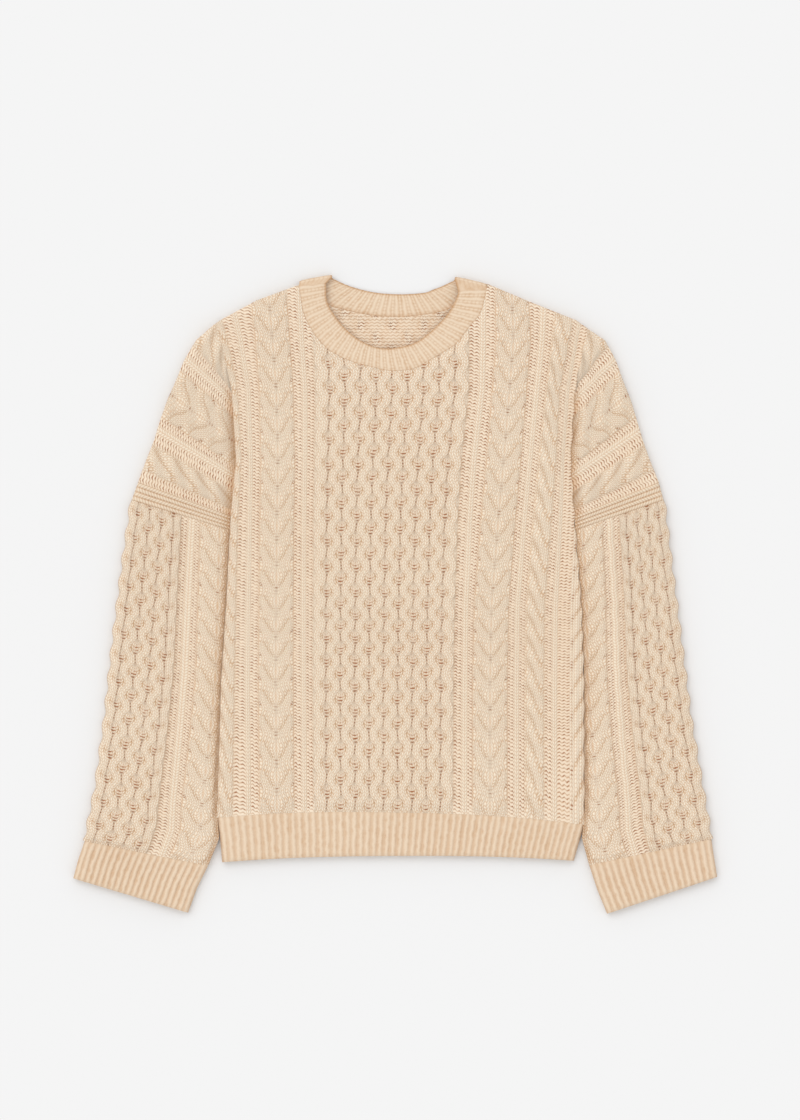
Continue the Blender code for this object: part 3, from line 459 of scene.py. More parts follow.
def honeycomb(repeat, lines, first, pitch, coarser=1):
    """Strands of two wales that swing from side to side and meet each other by turns.

    A strand's middle swings by a cosine of the repeat, half a turn on in every second block,
    and the lines between strands by a sine. A strand's back is a rounded bow, and between
    strands the knit sinks into an eye. pitch is the distance between two lines in millimetres.
    A column's place is -1 to 0 before its block's strand, 0 to 1 on it and 1 to 2 after it.
    """
    parts = ((-1.0, 0.0, GAP_STEPS), (0.0, 1.0, STRAND_STEPS), (1.0, 2.0, GAP_STEPS))
    place = np.concatenate([np.linspace(*part, endpoint=False) for part in parts])
    blocks = np.append(np.repeat(np.arange(-1, lines), len(place)), lines - 1)
    place = np.append(np.tile(place, lines + 1), 2.0)
    kept = thinned(len(place), coarser)
    blocks, place = blocks[kept], place[kept]
    beside = (blocks, blocks + 1)
    turns = [repeat - 0.5 * (line % 2) for line in beside]
    eyes = [np.cos(TURN * turn) for turn in turns]
    snake = [np.where(line % 2 == 0, -0.6, 0.5) / pitch * np.sin(TURN * turn)
             for line, turn in zip(beside, turns)]
    total = lines - 1 + 2.0 * first
    start = np.where(blocks < 0, 0.0, first + blocks + snake[0])
    end = np.where(blocks == lines - 1, total, first + blocks + 1.0 + snake[1])
    outer = (blocks < 0) | (blocks == lines - 1)
    middle = 0.5 * (start + end) + np.where(outer, 0.7, 1.0) * STRAND_SWING * eyes[0]
    low = np.maximum(middle - STRAND_HALF, start + STRAND_EDGE)
    high = np.minimum(middle + STRAND_HALF, end - STRAND_EDGE)
    before, on, after = (held(place + step) for step in (1.0, 0.0, -1.0))
    x = start + before * (low - start) + on * (high - low) + after * (end - high)
    rise = CABLE_RISE["honeycomb"]
    back = 1.0 - np.abs(2.0 * on - 1.0) ** 2.6
    eye = np.where(place < 0.5, *eyes)
    side_z = STRAND_SIDE + 0.09 * (1.0 - eye)
    gap, warm, sink = 0.0, 0.0, 0.0
    for side, (line, turn) in enumerate(zip(beside, turns)):
        real = (line >= 0) & (line < lines)
        far = (x - start if side == 0 else end - x) * pitch
        rows = COURSES * (turn - np.round(turn))
        # Painted gap shade: bars across each eye, and dots along the crossings.
        bars = 2.0 * bell(rows + 0.85, 1.3) * np.exp(-(far / 2.0) ** 4)
        crossed = bell(np.abs(rows) - 4.0, 1.9)
        gap = gap + real * (bars + 0.9 * crossed * bell(far, 0.9))
        # Painted shade: two warm spots where the under strands come out of the crossings, one
        # higher, and a little more along the crossings.
        spot_row = np.where((line + side) % 2 == 1, 0.5, -0.6)
        spot = bell(rows - spot_row, 1.2) * bell(far - 4.8, 1.7)
        warm = warm + real * (0.8 * spot + 0.2 * crossed * bell(far, 1.3))
        sink = sink + real * (0.1 * rise * spot)
    nearer = np.where(place < 0.5, *beside)
    real = (nearer >= 0) & (nearer < lines)
    bed = rise * np.where(real, side_z - 0.05 - 0.03 * eye, 0.35)
    climb = ease(np.where(place < 0.5, before, 1.0 - after))
    on_strand = (place >= 0.0) & (place <= 1.0)
    z = np.where(on_strand, rise * (side_z + (1.0 - side_z) * back),
                 bed + (rise * side_z - bed) * climb) - sink
    # The strands' rounded sides get a little painted shade.
    return x / total, knit_of(
        z, 4.0 * (blocks + 1.0) + before + 2.0 * on + after, COURSES * repeat,
        gap=np.clip(gap, 0.0, 1.6), warm=warm + 0.2 * (1.0 - back) * on_strand,
    )


# Marks of the knit; the last two say how much painted shade goes into the gaps between stitches
# and into hollows, valleys and creases.
MARKS = ("wale", "row", "course", "purl", "gap", "warm")


def strip_of(x, y, knit):
    """A strip of knit: its plan and its knit's rise and marks, all as grids of one shape."""
    parts = dict(x=x, y=y, **knit)
    return {name: np.broadcast_to(part, x.shape).astype(float) for name, part in parts.items()}


def side_by_side(strips):
    """Strips joined into one grid, and its columns without those where two strips meet.

    Each strip keeps its own last column for its marks.
    """
    grid = {name: np.hstack([strip[name] for strip in strips]) for name in strips[0]}
    ends = np.cumsum([strip["x"].shape[1] for strip in strips])
    return grid, np.delete(np.arange(ends[-1]), ends[:-1] - 1)


def hollow_shade(z, reach):
    """How deep each point of a grid lies under the mean height around it, from 0 to 1, for the
    shade painted into hollows.
    """
    mean = z.copy()
    for axis, steps in ((0, reach[0]), (1, reach[1])):
        for step in range(1, steps + 1):
            mean = 0.5 * mean + 0.25 * (np.roll(mean, step, axis) + np.roll(mean, -step, axis))
    return held((mean - z) / HOLLOW_DEEP)


def thinned(count, step):
    """Every number below count that is a multiple of step, and the last one."""
    return np.unique(np.append(np.arange(0, count, step), count - 1))


def shell(points, marks, columns, flip=False, ring=False, last=None):
    """Vertices, corners, face sizes and corner marks of a grid of points.

    columns says where in the marks each column of points is. last gives the row that each
    column ends at, and past it a face loses that corner, or is left out.
    """
    count = points.shape[1]
    if last is None:
        last = np.full(count, len(points) - 1)
    i, j = np.meshgrid(np.arange(last.max()), np.arange(count if ring else count - 1),
                       indexing="ij")
    i, j = i.reshape(-1, 1), j.reshape(-1, 1)
    column = (j + (0, 1, 1, 0)) % count
    row = np.minimum(i + (0, 0, 1, 1), last[column])
    source = columns[j] + (0, 1, 1, 0)
    keep = np.ones(row.shape, bool)
    keep[:, 3] = row[:, 3] > row[:, 0]
    keep[:, 2] = row[:, 2] > row[:, 1]
    keep[~(keep[:, 2] | keep[:, 3])] = False
    if flip:
        row, column, keep, source = (part[:, ::-1] for part in (row, column, keep, source))
    sizes = keep.sum(axis=1)
    corner = (row * count + column)[keep]
    data = np.stack([marks[name][row, source] for name in MARKS], axis=-1)[keep]
    return points.reshape(-1, 3), corner, sizes[sizes > 0], data


def loop_walls(rings):
    """Walls between closed rings of points, outward where the first ring runs anticlockwise
    seen from above."""
    count = rings.shape[1]
    here = np.arange(count)
    there = (here + 1) % count
    far = along_line(rings[0])
    wale = np.stack([far, far, far + 1.0, far + 1.0], axis=1) / WALE_WIDE
    blank = 0.0 * wale
    quads, data = [], []
    for k in range(len(rings) - 1):
        low, high = k * count, (k + 1) * count
        quads.append(np.stack([low + here, high + here, high + there, low + there], axis=1))
        row = blank - (k, k + 1, k + 1, k)
        # The walls get a little painted shade.
        data.append(np.stack([wale, row, row, blank, blank, blank + 0.25], axis=-1))
    quads = np.concatenate(quads)
    data = np.concatenate(data).reshape(-1, len(MARKS))
    return rings.reshape(-1, 3), quads.ravel(), np.full(len(quads), 4), data


def inward(ring):
    """Unit vectors into a closed anticlockwise outline, in plan."""
    along = (np.roll(ring, -1, axis=0) - np.roll(ring, 1, axis=0))[:, :2]
    along = along / np.maximum(np.linalg.norm(along, axis=1), 1e-6)[:, None]
    return np.column_stack([-along[:, 1], along[:, 0]])


def under_sheet(ring, height):
    """The inside of a panel: its outline's own points and a coarse grid of points clear of them,
    joined by Delaunay triangles that face down."""
    low, high = ring[:, :2].min(axis=0), ring[:, :2].max(axis=0)
    x, y = np.meshgrid(*(np.arange(low[k], high[k], SHEET_STEP) for k in (0, 1)))
    far = np.min(np.hypot(ring[:, :1] - x.ravel(), ring[:, 1:2] - y.ravel()), axis=0)
    clear = far > 0.5 * SHEET_STEP
    x, y = x.ravel()[clear], y.ravel()[clear]
    points = np.vstack([ring, np.column_stack([x, y, height(x, y)])])
    flat = [Vector(point) for point in points[:, :2]]
    _, _, faces, first, _, _ = delaunay_2d_cdt(flat, [], [list(range(len(ring)))], 1, 1e-7)
    origin = np.array([found[0] for found in first])
    corner = origin[np.array(faces)][:, ::-1].ravel()
    data = np.zeros((len(corner), len(MARKS)))
    data[:, :2] = points[corner, :2] / (WALE_WIDE, COURSE_TALL)
    return points, corner, np.full(len(faces), 3), data


def layer(grid, columns, last, z, flip, inside_z=None):
    """Shells and area of a panel: its outside, the wall under its edge and its inside.

    Without a height for its inside it is a flat layer, with its own grid again on the floor.
    """
    points = np.dstack([grid["x"], grid["y"], z])[:, columns]
    if last is None:
        last = np.full(len(columns), len(points) - 1)
    place = np.arange(len(last))
    rows = (0 * last, np.arange(1, last[-1] + 1), last[-2::-1], np.arange(last[0] - 1, 0, -1))
    sides = (place, place[-1] + 0 * rows[1], place[-2::-1], 0 * rows[3])
    ring = points[np.concatenate(rows), np.concatenate(sides)]
    if flip:
        ring = ring[::-1]
    x, y, edge_z = ring.T
    if inside_z is None:
        rings = [ring, ring * ON_FLOOR]
        under = shell(points * ON_FLOOR, grid, columns, not flip, last=last)
    else:
        rings = [ring]
        for inset, share in WALL_RINGS:
            ring_z = edge_z + share * (inside_z(x, y) - edge_z)
            rings.append(np.column_stack([ring[:, :2] + inset * inward(ring), ring_z]))
        under = under_sheet(rings[-1], inside_z)
    area = 0.5 * abs(float(np.sum(x * np.roll(y, -1) - np.roll(x, -1) * y)))
    return [shell(points, grid, columns, flip, last=last), under,
            loop_walls(np.array(rings))], area


SEAM_ANGLE = math.radians(62)
YARNS = {}  # the material of each slot


def make_knit(name, shells, slot, nodes, area):
    """Makes a piece from its shells: welded, smooth and tied to the frame.

    area is its cut's area in square millimetres; it is only turned into square metres, and
    nothing uses it.
    """
    points, corners, sizes, marks = zip(*shells)
    part = np.repeat(np.arange(len(shells)), [len(corner) for corner in corners])
    starts = np.cumsum([0] + [len(some) for some in points])
    corners = np.concatenate([corner + start for corner, start in zip(corners, starts)])
    points, sizes, marks = (np.concatenate(some) for some in (points, sizes, marks))
    points = (points + PLACE) * MM
    _, first, same = np.unique(np.round(points * 1e6).astype(np.int64), axis=0,
                               return_index=True, return_inverse=True)
    used, corners = np.unique(same.ravel()[corners], return_inverse=True)
    points = points[first][used]
    mesh = bpy.data.meshes.new(name)
    mesh.vertices.add(len(points))
    mesh.vertices.foreach_set("co", points.ravel())
    mesh.loops.add(len(corners))
    mesh.loops.foreach_set("vertex_index", corners.astype(np.int32))
    mesh.polygons.add(len(sizes))
    starts = np.append(0, np.cumsum(sizes)[:-1])
    mesh.polygons.foreach_set("loop_start", starts.astype(np.int32))
    mesh.update(calc_edges=True)
    stitches = mesh.uv_layers.new(name="stitches")
    stitches.uv.foreach_set("vector", marks[:, :2].astype(np.float32).ravel())
    for number, mark in enumerate(MARKS[2:], start=2):
        stored = mesh.attributes.new(mark, "FLOAT", "CORNER")
        stored.data.foreach_set("value", marks[:, number].astype(np.float32))
    mesh.shade_smooth()
    mesh.set_sharp_from_angle(angle=SEAM_ANGLE)
    edge = np.empty(len(mesh.loops), np.int32)
    mesh.loops.foreach_get("edge_index", edge)
    low, high = np.full(len(mesh.edges), len(shells)), np.full(len(mesh.edges), -1)
    np.minimum.at(low, edge, part)
    np.maximum.at(high, edge, part)
    sharp = np.empty(len(mesh.edges), bool)
    mesh.edges.foreach_get("use_edge_sharp", sharp)
    # Edges between two shells stay sharp.
    mesh.edges.foreach_set("use_edge_sharp", sharp | (low != high))
    mesh.materials.append(YARNS[slot])
    piece = bpy.data.objects.new(name, mesh)
    scene.collection.objects.link(piece)
    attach(piece, "root")
    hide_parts(*nodes)
    if area is not None:
        area = area * MM ** 2


# The yarn's own colour, then the colours of painted shade in it: soft, deep, and in the gaps
# between stitches.
YARN_LIGHT = (0.880, 0.763, 0.612, 1.0)
YARN_SHADE = (0.705, 0.505, 0.340, 1.0)
YARN_DEEP_SHADE = (0.500, 0.290, 0.150, 1.0)
YARN_GAP_SHADE = (0.390, 0.155, 0.062, 1.0)
FIBRE_SCALE = 900.0
STITCH_DEEP = 0.0008
LEG_LEAN = 0.85
GRAIN_SHADE = 1.5  # how far painted shade darkens the hollows between the legs of stitches
GRAIN_SHADE_FROM = 0.35


def yarn_material(name, light, warm):
    """Soft matt yarn in stitches: slanting legs on knit wales and arched bars on purl ones.

    Wales and rows come from the map named stitches. A leg is the product of two bows, one along
    it and one across it, and a bar is a narrow cosine of the course. The hollows between legs
    and the gaps between stitches get painted shade, darker and warmer than the yarn, the marks
    add painted shade in hollows, valleys and creases, and a fine noise stands for its fibres.
    """
    material = bpy.data.materials.new(name)
    material.use_nodes = True
    tree = material.node_tree
    surface = tree.nodes["Principled BSDF"]

    def made(kind, output, inputs=None, **settings):
        node = tree.nodes.new("ShaderNode" + kind)
        for setting, value in settings.items():
            setattr(node, setting, value)
        for socket, value in (inputs or {}).items():
            if isinstance(value, bpy.types.NodeSocket):
                tree.links.new(value, node.inputs[socket])
            else:
                node.inputs[socket].default_value = value
        return node.outputs[output]

    def calc(operation, *values, clamp=False):
        values = dict(enumerate(values))
        return made("Math", 0, values, operation=operation, use_clamp=clamp)

    def blend(share, first, second):
        return made("Mix", "Result", dict(Factor=share, A=first, B=second), data_type="RGBA")

    def noise(scale, detail, rough):
        return made("TexNoise", "Fac",
                    dict(Scale=scale, Detail=detail, Roughness=rough, Vector=place))

    add, less, times = (partial(calc, kind) for kind in ("ADD", "SUBTRACT", "MULTIPLY"))
    place = made("TexCoord", "Object")
    wale = made("SeparateXYZ", "X", {0: made("UVMap", "UV", uv_map="stitches")})
    row = wale.node.outputs["Y"]
    course, purl, gap, shade = (made("Attribute", "Fac", attribute_name=which)
                                for which in MARKS[2:])

    wander = times(less(noise(160.0, 1.0, 0.5), 0.5), 0.5)
    from_middle = times(calc("ABSOLUTE", less(calc("FRACT", wale), 0.5)), 2.0)
    leg_row = less(add(row, wander), times(from_middle, LEG_LEAN))
    along = calc("SINE", times(calc("FRACT", leg_row), math.pi))
    off = less(times(from_middle, 2.0), 1.0)
    leg = times(along, less(1.0, times(off, off)), clamp=True)

    arch = times(less(1.0, from_middle), times(purl, 0.42))
    wave = calc("COSINE", times(less(add(course, wander), arch), TURN))
    bar = calc("POWER", add(times(wave, 0.5), 0.5), 3.0)
    loop = less(0.66, times(bar, 0.45))

    height = add(times(leg, less(1.0, purl)), times(loop, purl))
    uneven = less(times(noise(240.0, 0.0, 0.5), 2.8), 0.4)
    dark = times(times(bar, gap), uneven, clamp=True)

    fibres = noise(FIBRE_SCALE, 3.0, 0.6)
    patches = noise(9.0, 2.0, 0.5)
    # Painted shade: the marks' shade plus more in the hollows between legs, with random tone
    # from fibres and patches; past 1 it goes to the deep shade colour, and gaps take the gap
    # shade colour.
    tint = add(shade, times(less(less(1.0, height), GRAIN_SHADE_FROM), GRAIN_SHADE))
    tint = add(tint, times(less(fibres, 0.5), 0.5))
    tint = add(tint, times(less(patches, 0.5), 0.25))
    colour = blend(add(tint, 0.0, clamp=True), light, warm)
    colour = blend(less(tint, 1.0, clamp=True), colour, YARN_DEEP_SHADE)
    colour = blend(dark, colour, YARN_GAP_SHADE)

    relief = add(less(height, times(dark, 0.5)), times(fibres, 0.35))
    normal = made("Bump", "Normal", dict(Strength=0.8, Distance=STITCH_DEEP, Height=relief))
    rough = add(times(fibres, 0.12), 0.84)
    for socket, value in (("Base Color", colour), ("Normal", normal), ("Roughness", rough)):
        tree.links.new(value, surface.inputs[socket])
    surface.inputs["Specular IOR Level"].default_value = 0.2
    surface.inputs["Sheen Weight"].default_value = 0.12
    surface.inputs["Sheen Roughness"].default_value = 0.5
    return material


YARNS["yarn"] = yarn_material("cream_yarn", YARN_LIGHT, YARN_SHADE)


def panel_strips(neckline, steps_a_repeat, coarser):
    """The grid of a body panel from its left fold to its right one, and each column's end.

    Rows are cable repeats. A column ends at the shoulder line or at the neckline, and near the
    hem the rows bend to the hem's seam.
    """
    bottom, first, top_repeat = REPEATS[0, 0], REPEATS[0, 1], REPEATS[-1, 1]
    count = int((top_repeat - first) * steps_a_repeat)
    rows = np.linspace(first, top_repeat, count)[:, None]
    row_y = height_of(rows)
    near_hem = ease(1.0 - (row_y - bottom) / HEM_BEND)
    neck = smooth_line(neckline, NECK_POINTS)
    strips = []
    for number, (kind, *_) in enumerate(FRONT_LINES[:-1]):
        y, repeat = row_y, rows
        # The plan and the repeats lean on each other, and settle in a few passes.
        for _ in range(SETTLE_PASSES):
            left, right = line_x(number, y), line_x(number + 1, y)
            if kind == "honeycomb":
                share, knit = honeycomb(repeat, HONEYCOMB_LINES, OUTER_STRAND, HONEYCOMB_PITCH,
                                        coarser)
            else:
                share = np.linspace(0.0, 1.0, max(2, STEPS[kind] // coarser) + 1)[None]
                shown = np.minimum(1.0, (right - left) / FULL_WIDTH.get(number, 1.0))
                seen = 1.0 - (1.0 - share) * shown if number == 0 else share * shown
                knit = KNITS[kind](seen, repeat, 1.0)
            x = (1 - share) * left + share * right
            free = row_y + near_hem * (hem_y(x) + 0.5 * SEAM_GAP - bottom)
            over = (x > neck[0, 0]) & (x < neck[-1, 0])
            top = np.where(over, read_off(neck, x), FAR_OFF)
            top = np.minimum(top, shoulder_y(x)) - 0.5 * SEAM_GAP
            ended = free > top
            y = np.where(ended, top, free)
            repeat = np.where(ended, repeat_at(top), rows)
        strip = strip_of(x, y, dict(knit, ended=ended))
        from_neck = np.full(x.shape, FAR_OFF)
        for point in neck:
            from_neck = np.minimum(from_neck, np.hypot(x - point[0], y - point[1]))
        from_hem = y - hem_y(x)
        strip["rise"] *= ease(from_neck / NECK_FADE) * ease(from_hem / HEM_FADE)
        strip["gap"] *= ease(from_hem / HEM_GAP_FADE)
        strips.append(strip)
    grid, columns = side_by_side(strips)
    ended = grid["ended"][:, columns] > 0.0
    return grid, columns, np.where(ended.any(axis=0), ended.argmax(axis=0), count - 1)


def panel_fullness(x, y):
    """How far the front has risen from its seam's height: rounded at its folds and shoulders."""
    crease = ease((height_of(ARMPIT) + 2.0 - y) / CREASE_FADE) * (1.0 - FOLD_FULL)
    left = soft_swell(x - line_x(FOLDS[0], y), EDGE_ROUND)
    right = soft_swell(line_x(FOLDS[1], y) - x, EDGE_ROUND)
    above = swell(shoulder_y(x) - y, EDGE_ROUND)
    return (1 - crease * (1 - left)) * (1 - crease * (1 - right)) * above


def laid_height(x, y, full):
    """Height of the laid cloth under its cables, where full is how far it has risen."""
    return SEAM_Z + (FRONT_Z - SEAM_Z) * full - sag(x, y) * full


def front_inside(x, y):
    """Height of the front's inside, one wall below its plain knit."""
    return laid_height(x, y, panel_fullness(x, y)) - WALL


front, front_columns, front_last = panel_strips(NECK_SEAM, FRONT_STEPS_A_REPEAT, 1)
full = panel_fullness(front["x"], front["y"])
front_top = laid_height(front["x"], front["y"], full) + front["rise"] * full
# Painted shade in the front's hollows.
front["warm"] += HOLLOW_SHADE * hollow_shade(front_top, (3, 5))
shells, area = layer(front, front_columns, front_last, front_top, False, front_inside)
make_knit("front_knit", shells, "yarn", ["front"], area)

# ---- Dropped shoulders ----
# The front goes on over each shoulder in strips of rope, ladder, rib and staghorn that run
# slantwise from the outer edge down to the fold beside the body.

# Lines down the arm: the knit that starts there, its row at the fold counted from the armpit,
# and its y on the outer edge.
ARM_LINES = (
    ("rope", 0, 292.0), ("ladder", 1, 265.0), ("rib", 2, 254.0), ("ladder", 3, 248.0),
    ("staghorn", 5, 238.5), ("ladder", 13, 189.0), ("rib", 14, 179.7), ("ladder", 15, 172.0),
    ("rope", 17, 160.5), ("ladder", 20, 133.0), ("end", 21, 120.3),
)
ARM_STEPS = {"rope": 14, "ladder": 6, "rib": 5, "staghorn": 40}
ARM_LONG_STEPS = 84
REPEAT_LONG = 26.0
REPEAT_FROM_EDGE = 4.0
FOLD_STEP = 0.241  # repeats from one row of the strips to the next at the fold
CREASE_WIDE = 20.0
CREASE_SETTLE = 5.0
STRAIGHT_FROM = 8.0  # rows below the armpit over which the lines become straight
SPLIT_BEND = 12.0 / 14.0  # share of the first line that ends half a repeat above the armpit
SHOULDER_FULL = {"rope": 26.0, "staghorn": 30.0}  # widths from which these knits rise fully
ARM_WALES = {"rope": 1.5, "staghorn": 1.4}  # more wales where these knits are spread wide


def body_side(y, side):
    """Plan and height of the front's side column at height y, read off the panel."""
    column, end = front_columns[-side], front_last[-side] + 1
    heights = front["y"][:end, column]
    return np.stack([np.interp(y, heights, front["x"][:end, column]),
                     np.minimum(y, heights[-1]),
                     np.interp(y, heights, front_top[:end, column])], axis=-1)


def shoulder_grid(side, outline):
    """A dropped shoulder's grid, columns and heights: lines ruled from its edge to the fold.

    Its first line follows the body's own edge up to the shoulder, and the lines below it fade
    into straight ones.
    """
    highest = body_side(np.array([FAR_OFF]), side)[0, :2]
    outline = np.vstack([[highest], outline[4:]])[::-1]
    peak = outline[-1, 1]
    along = np.linspace(0.0, 1.0, ARM_LONG_STEPS + 1)[:, None]
    way = along[..., None]
    armpit = height_of(ARMPIT)
    split_y = np.interp(along, (0.0, SPLIT_BEND, 1.0), (peak, height_of(ARMPIT + 0.5), armpit))
    split = body_side(split_y, side)[..., :2]
    top_fold = body_side(np.array([[armpit]]), side)[..., :2]
    ruled = split[:1] * (1 - way) + top_fold * way
    strips = []
    for (kind, first, start_y), (_, final, end_y) in zip(ARM_LINES, ARM_LINES[1:]):
        share = np.linspace(0.0, 1.0, ARM_STEPS[kind] + 1)[None]
        line = first + (final - first) * share
        start_y = min(start_y, peak)
        outer_y = start_y + (end_y - start_y) * share
        outer = np.stack([read_off(outline[:, ::-1], outer_y), outer_y], axis=-1)
        fold = body_side(height_of(ARMPIT - FOLD_STEP * line), side)[..., :2]
        fade = held(1.0 - line / STRAIGHT_FROM)[..., None]
        plan = outer * (1 - way) + fold * way + fade * (split - ruled)
        if first == 0:
            plan[:, 0] = split[:, 0]
        long = np.linalg.norm(fold - outer, axis=-1)
        repeat = (REPEAT_FROM_EDGE - long * along) / REPEAT_LONG
        knit = KNITS[kind](share, repeat, -1.0 if side else 1.0)
        across = np.linalg.norm(plan[:, -1] - plan[:, 0], axis=1)[:, None]
        narrow = ease(across / SHOULDER_FULL[kind]) if kind in SHOULDER_FULL else 1.0
        knit["rise"] = knit["rise"] * narrow
        knit["warm"] = knit["warm"] * narrow
        knit["wale"] = knit["wale"] * ARM_WALES.get(kind, 1.0)
        knit.update(from_edge=long * along, from_fold=long * (1.0 - along), line=line)
        strips.append(strip_of(plan[..., 0], plan[..., 1], knit))
    grid, columns = side_by_side(strips)
    x, y, from_fold = grid["x"], grid["y"], grid["from_fold"]
    fold_y = height_of(ARMPIT - FOLD_STEP * grid["line"])
    deep = ease((armpit + 2.0 - fold_y) / CREASE_FADE)
    full = swell(grid["from_edge"], EDGE_ROUND)
    full = full * (1.0 - deep * (1.0 - ease(from_fold / CREASE_WIDE)))
    z = laid_height(x, y, full) + grid["rise"] * full * ease(from_fold / CREASE_SETTLE)
    body_z = body_side(y[:, :1], side)[..., 2]
    z = z + (body_z - z[:, :1]) * held(1.0 - grid["line"] / 2.0)
    # Painted shade in the hollows and down into the crease beside the body.
    shade = deep * (1.0 - ease(from_fold / (0.7 * CREASE_WIDE)))
    grid["warm"] += HOLLOW_SHADE * hollow_shade(z, (5, 5)) + 0.9 * shade
    return grid, columns, z


def shoulder_inside(x, y):
    """Height of the shoulders' inside, level with the front's at the seams."""
    return 0.0 * x + SEAM_Z - WALL


shoulders = [shoulder_grid(0, SHOULDER_LEFT), shoulder_grid(1, SHOULDER_RIGHT)]
for side, (arm, columns, arm_top) in enumerate(shoulders):
    shells, area = layer(arm, columns, None, arm_top, side == 1, shoulder_inside)
    make_knit("shoulder_" + SIDES[side] + "_knit", shells, "yarn", ["front"],
              area)

# ---- Back panel ----
# The same knit as the front in one flat layer under it, joined to it at the shoulders and
# down the sides. Its neckline is higher, so the purl side of its honeycomb shows inside the
# neck.
BACK_SEAM = (
    (-99.6, 330.2), (-84.0, 318.0), (-68.9, 307.9), (-46.6, 301.6), (-24.4, 297.3),
    (6.4, 295.5), (36.0, 298.4), (51.9, 301.6), (60.4, 305.3), (78.0, 316.0), (97.5, 327.0),
)
BACK_STEPS_A_REPEAT = 8
# Purl side of the honeycomb: x and y of one group of bars, and the steps to its neighbours.
PURL_GROUP = (-1.4, 286.7, 16.8, 27.0)
NECK_BOX = (-92.0, 90.0, 232.0)  # x left, x right and lowest y of what shows in the neck
NECK_BOX_FADE = 8.0
NECK_LIFT = 2.2  # the knit behind the neck lies higher, and its relief is seen from behind
PURL_RELIEF = 0.55

back, columns, last = panel_strips(BACK_SEAM, BACK_STEPS_A_REPEAT, 2)
in_neck = ease((back["y"] - NECK_BOX[2]) / NECK_BOX_FADE)
in_neck = in_neck * (back["x"] > NECK_BOX[0]) * (back["x"] < NECK_BOX[1])
back_top = BACK_TOP + in_neck * (NECK_LIFT - PURL_RELIEF * back["rise"])
line = (back["x"] - PURL_GROUP[0]) / PURL_GROUP[2]
beside = (line - np.round(line)) * PURL_GROUP[2]
group = (back["y"] - PURL_GROUP[1]) / PURL_GROUP[3] + 0.5 * (np.round(line) % 2)
group = COURSES * (group - np.round(group))
bars = bell(group, 1.6) * np.exp(-(beside / 4.4) ** 4)
spots = bell(group, 2.4) * bell(np.abs(beside) - 5.6, 1.5)
# Painted shade over the whole back, more in spots beside each group of bars, and the bars
# painted dark as shaded gaps.
back.update(purl=1.0 + 0.0 * bars, gap=0.1 + 0.8 * bars, warm=0.4 - 0.2 * bars + 0.5 * spots)
shells, area = layer(back, columns, last, back_top, False)
for side, (arm, columns, _) in enumerate(shoulders):
    arm = {name: part[::2] for name, part in arm.items()}
    more, more_area = layer(arm, columns, None, BACK_TOP + 0.0 * arm["x"], side == 1)
    shells += more
    area += more_area
make_knit("back_knit", shells, "yarn", ["back"], area)

# ---- Sleeves ----
# A tube of honeycomb with a rib, ladders and half a staghorn towards the body, sewn to the
# arm band and laid flat. Its outer fold is scalloped by the honeycomb.

# Rows of the tubes: outer end x, y, inner end x, y, width of the slope at the inner end.
SLEEVE_ROWS = {
    "left": (
        (-278.3, 101.2, -174.0, 69.4, 20.0), (-287.3, 37.6, -177.0, 8.0, 24.0),
        (-297.9, -47.2, -182.0, -75.8, 26.0), (-306.9, -132.0, -185.5, -160.6, 22.0),
        (-317.0, -206.2, -187.6, -229.5, 12.0), (-322.8, -234.5, -185.3, -257.5, 10.0),
        (-328.1, -260.2, -197.2, -286.7, 9.0),
    ),
    "right": (
        (286.0, 101.2, 192.0, 69.4, 20.0), (293.6, 37.6, 197.0, 8.0, 24.0),
        (304.2, -47.2, 201.0, -75.8, 26.0), (314.8, -132.0, 201.6, -160.6, 22.0),
        (327.5, -206.2, 202.0, -229.5, 12.0), (332.5, -234.0, 199.3, -257.5, 10.0),
        (336.6, -258.1, 207.0, -285.8, 9.0),
    ),
}
# Column lines towards the body: knit, then share of the width at top, middle and wrist.
SLEEVE_LINES = (
    ("honeycomb", 0.0, 0.0, 0.0), ("ladder", 0.51, 0.57, 0.505), ("rib", 0.58, 0.632, 0.60),
    ("ladder", 0.65, 0.70, 0.65), ("staghorn", 0.70, 0.768, 0.685),
    ("plain", 0.995, 0.99, 0.965), ("end", 1.0, 1.0, 1.0),
)
SLEEVE_CABLE = 43.0  # the staghorn's full width, part of which may turn into the crease
SLEEVE_HONEYCOMB_LINES = 4
SLEEVE_FIRST_STRAND = 0.65
SLEEVE_REPEATS = 14.3
SLEEVE_PHASE = 0.1
SLEEVE_ROWS_A_REPEAT = 17
SLEEVE_PITCH = 14.5
SLEEVE_MIDDLE = 0.45
SLEEVE_SCALLOP = 1.2
SLEEVE_FADE = 6.0
SIDE_ROWS = (  # ends of the body's side fold under the front: y, x left, x right
    (-283.0, -182.3, 190.8), (-259.7, -184.4, 196.0),
)
BODY_CLEAR = 0.12
CREASE_Z = 7.2  # height of the sleeve's edge where it meets the body
EDGE_SHADE = 7.0  # width of the shade beside the crease
EDGE_SETTLE = 6.0  # width over which the cable sinks into the crease
EDGE_TIGHT = 3.0
MOUTH_ROUND = 2.5  # an open end is rounded over this width, from this share of its height
MOUTH_LOW = 0.75
INSIDE_STEP = 10
HOLLOW_TALL = 0.6
HOLLOW_EDGE = 0.5
# Painted shade over the tubes' undersides.
UNDER_SHADE = 0.35
CUT_LONG = 1.12  # the stated length over the length along the rows' middles
UNDER_CURL = ((0.3, 3.0), (1.2, 1.2), (3.0, 0.2), (5.0, 0.0))  # inset from an edge, and z
UNDER_SHARES = (0.9, 0.75, 0.6, 0.5, 0.4, 0.25, 0.1)


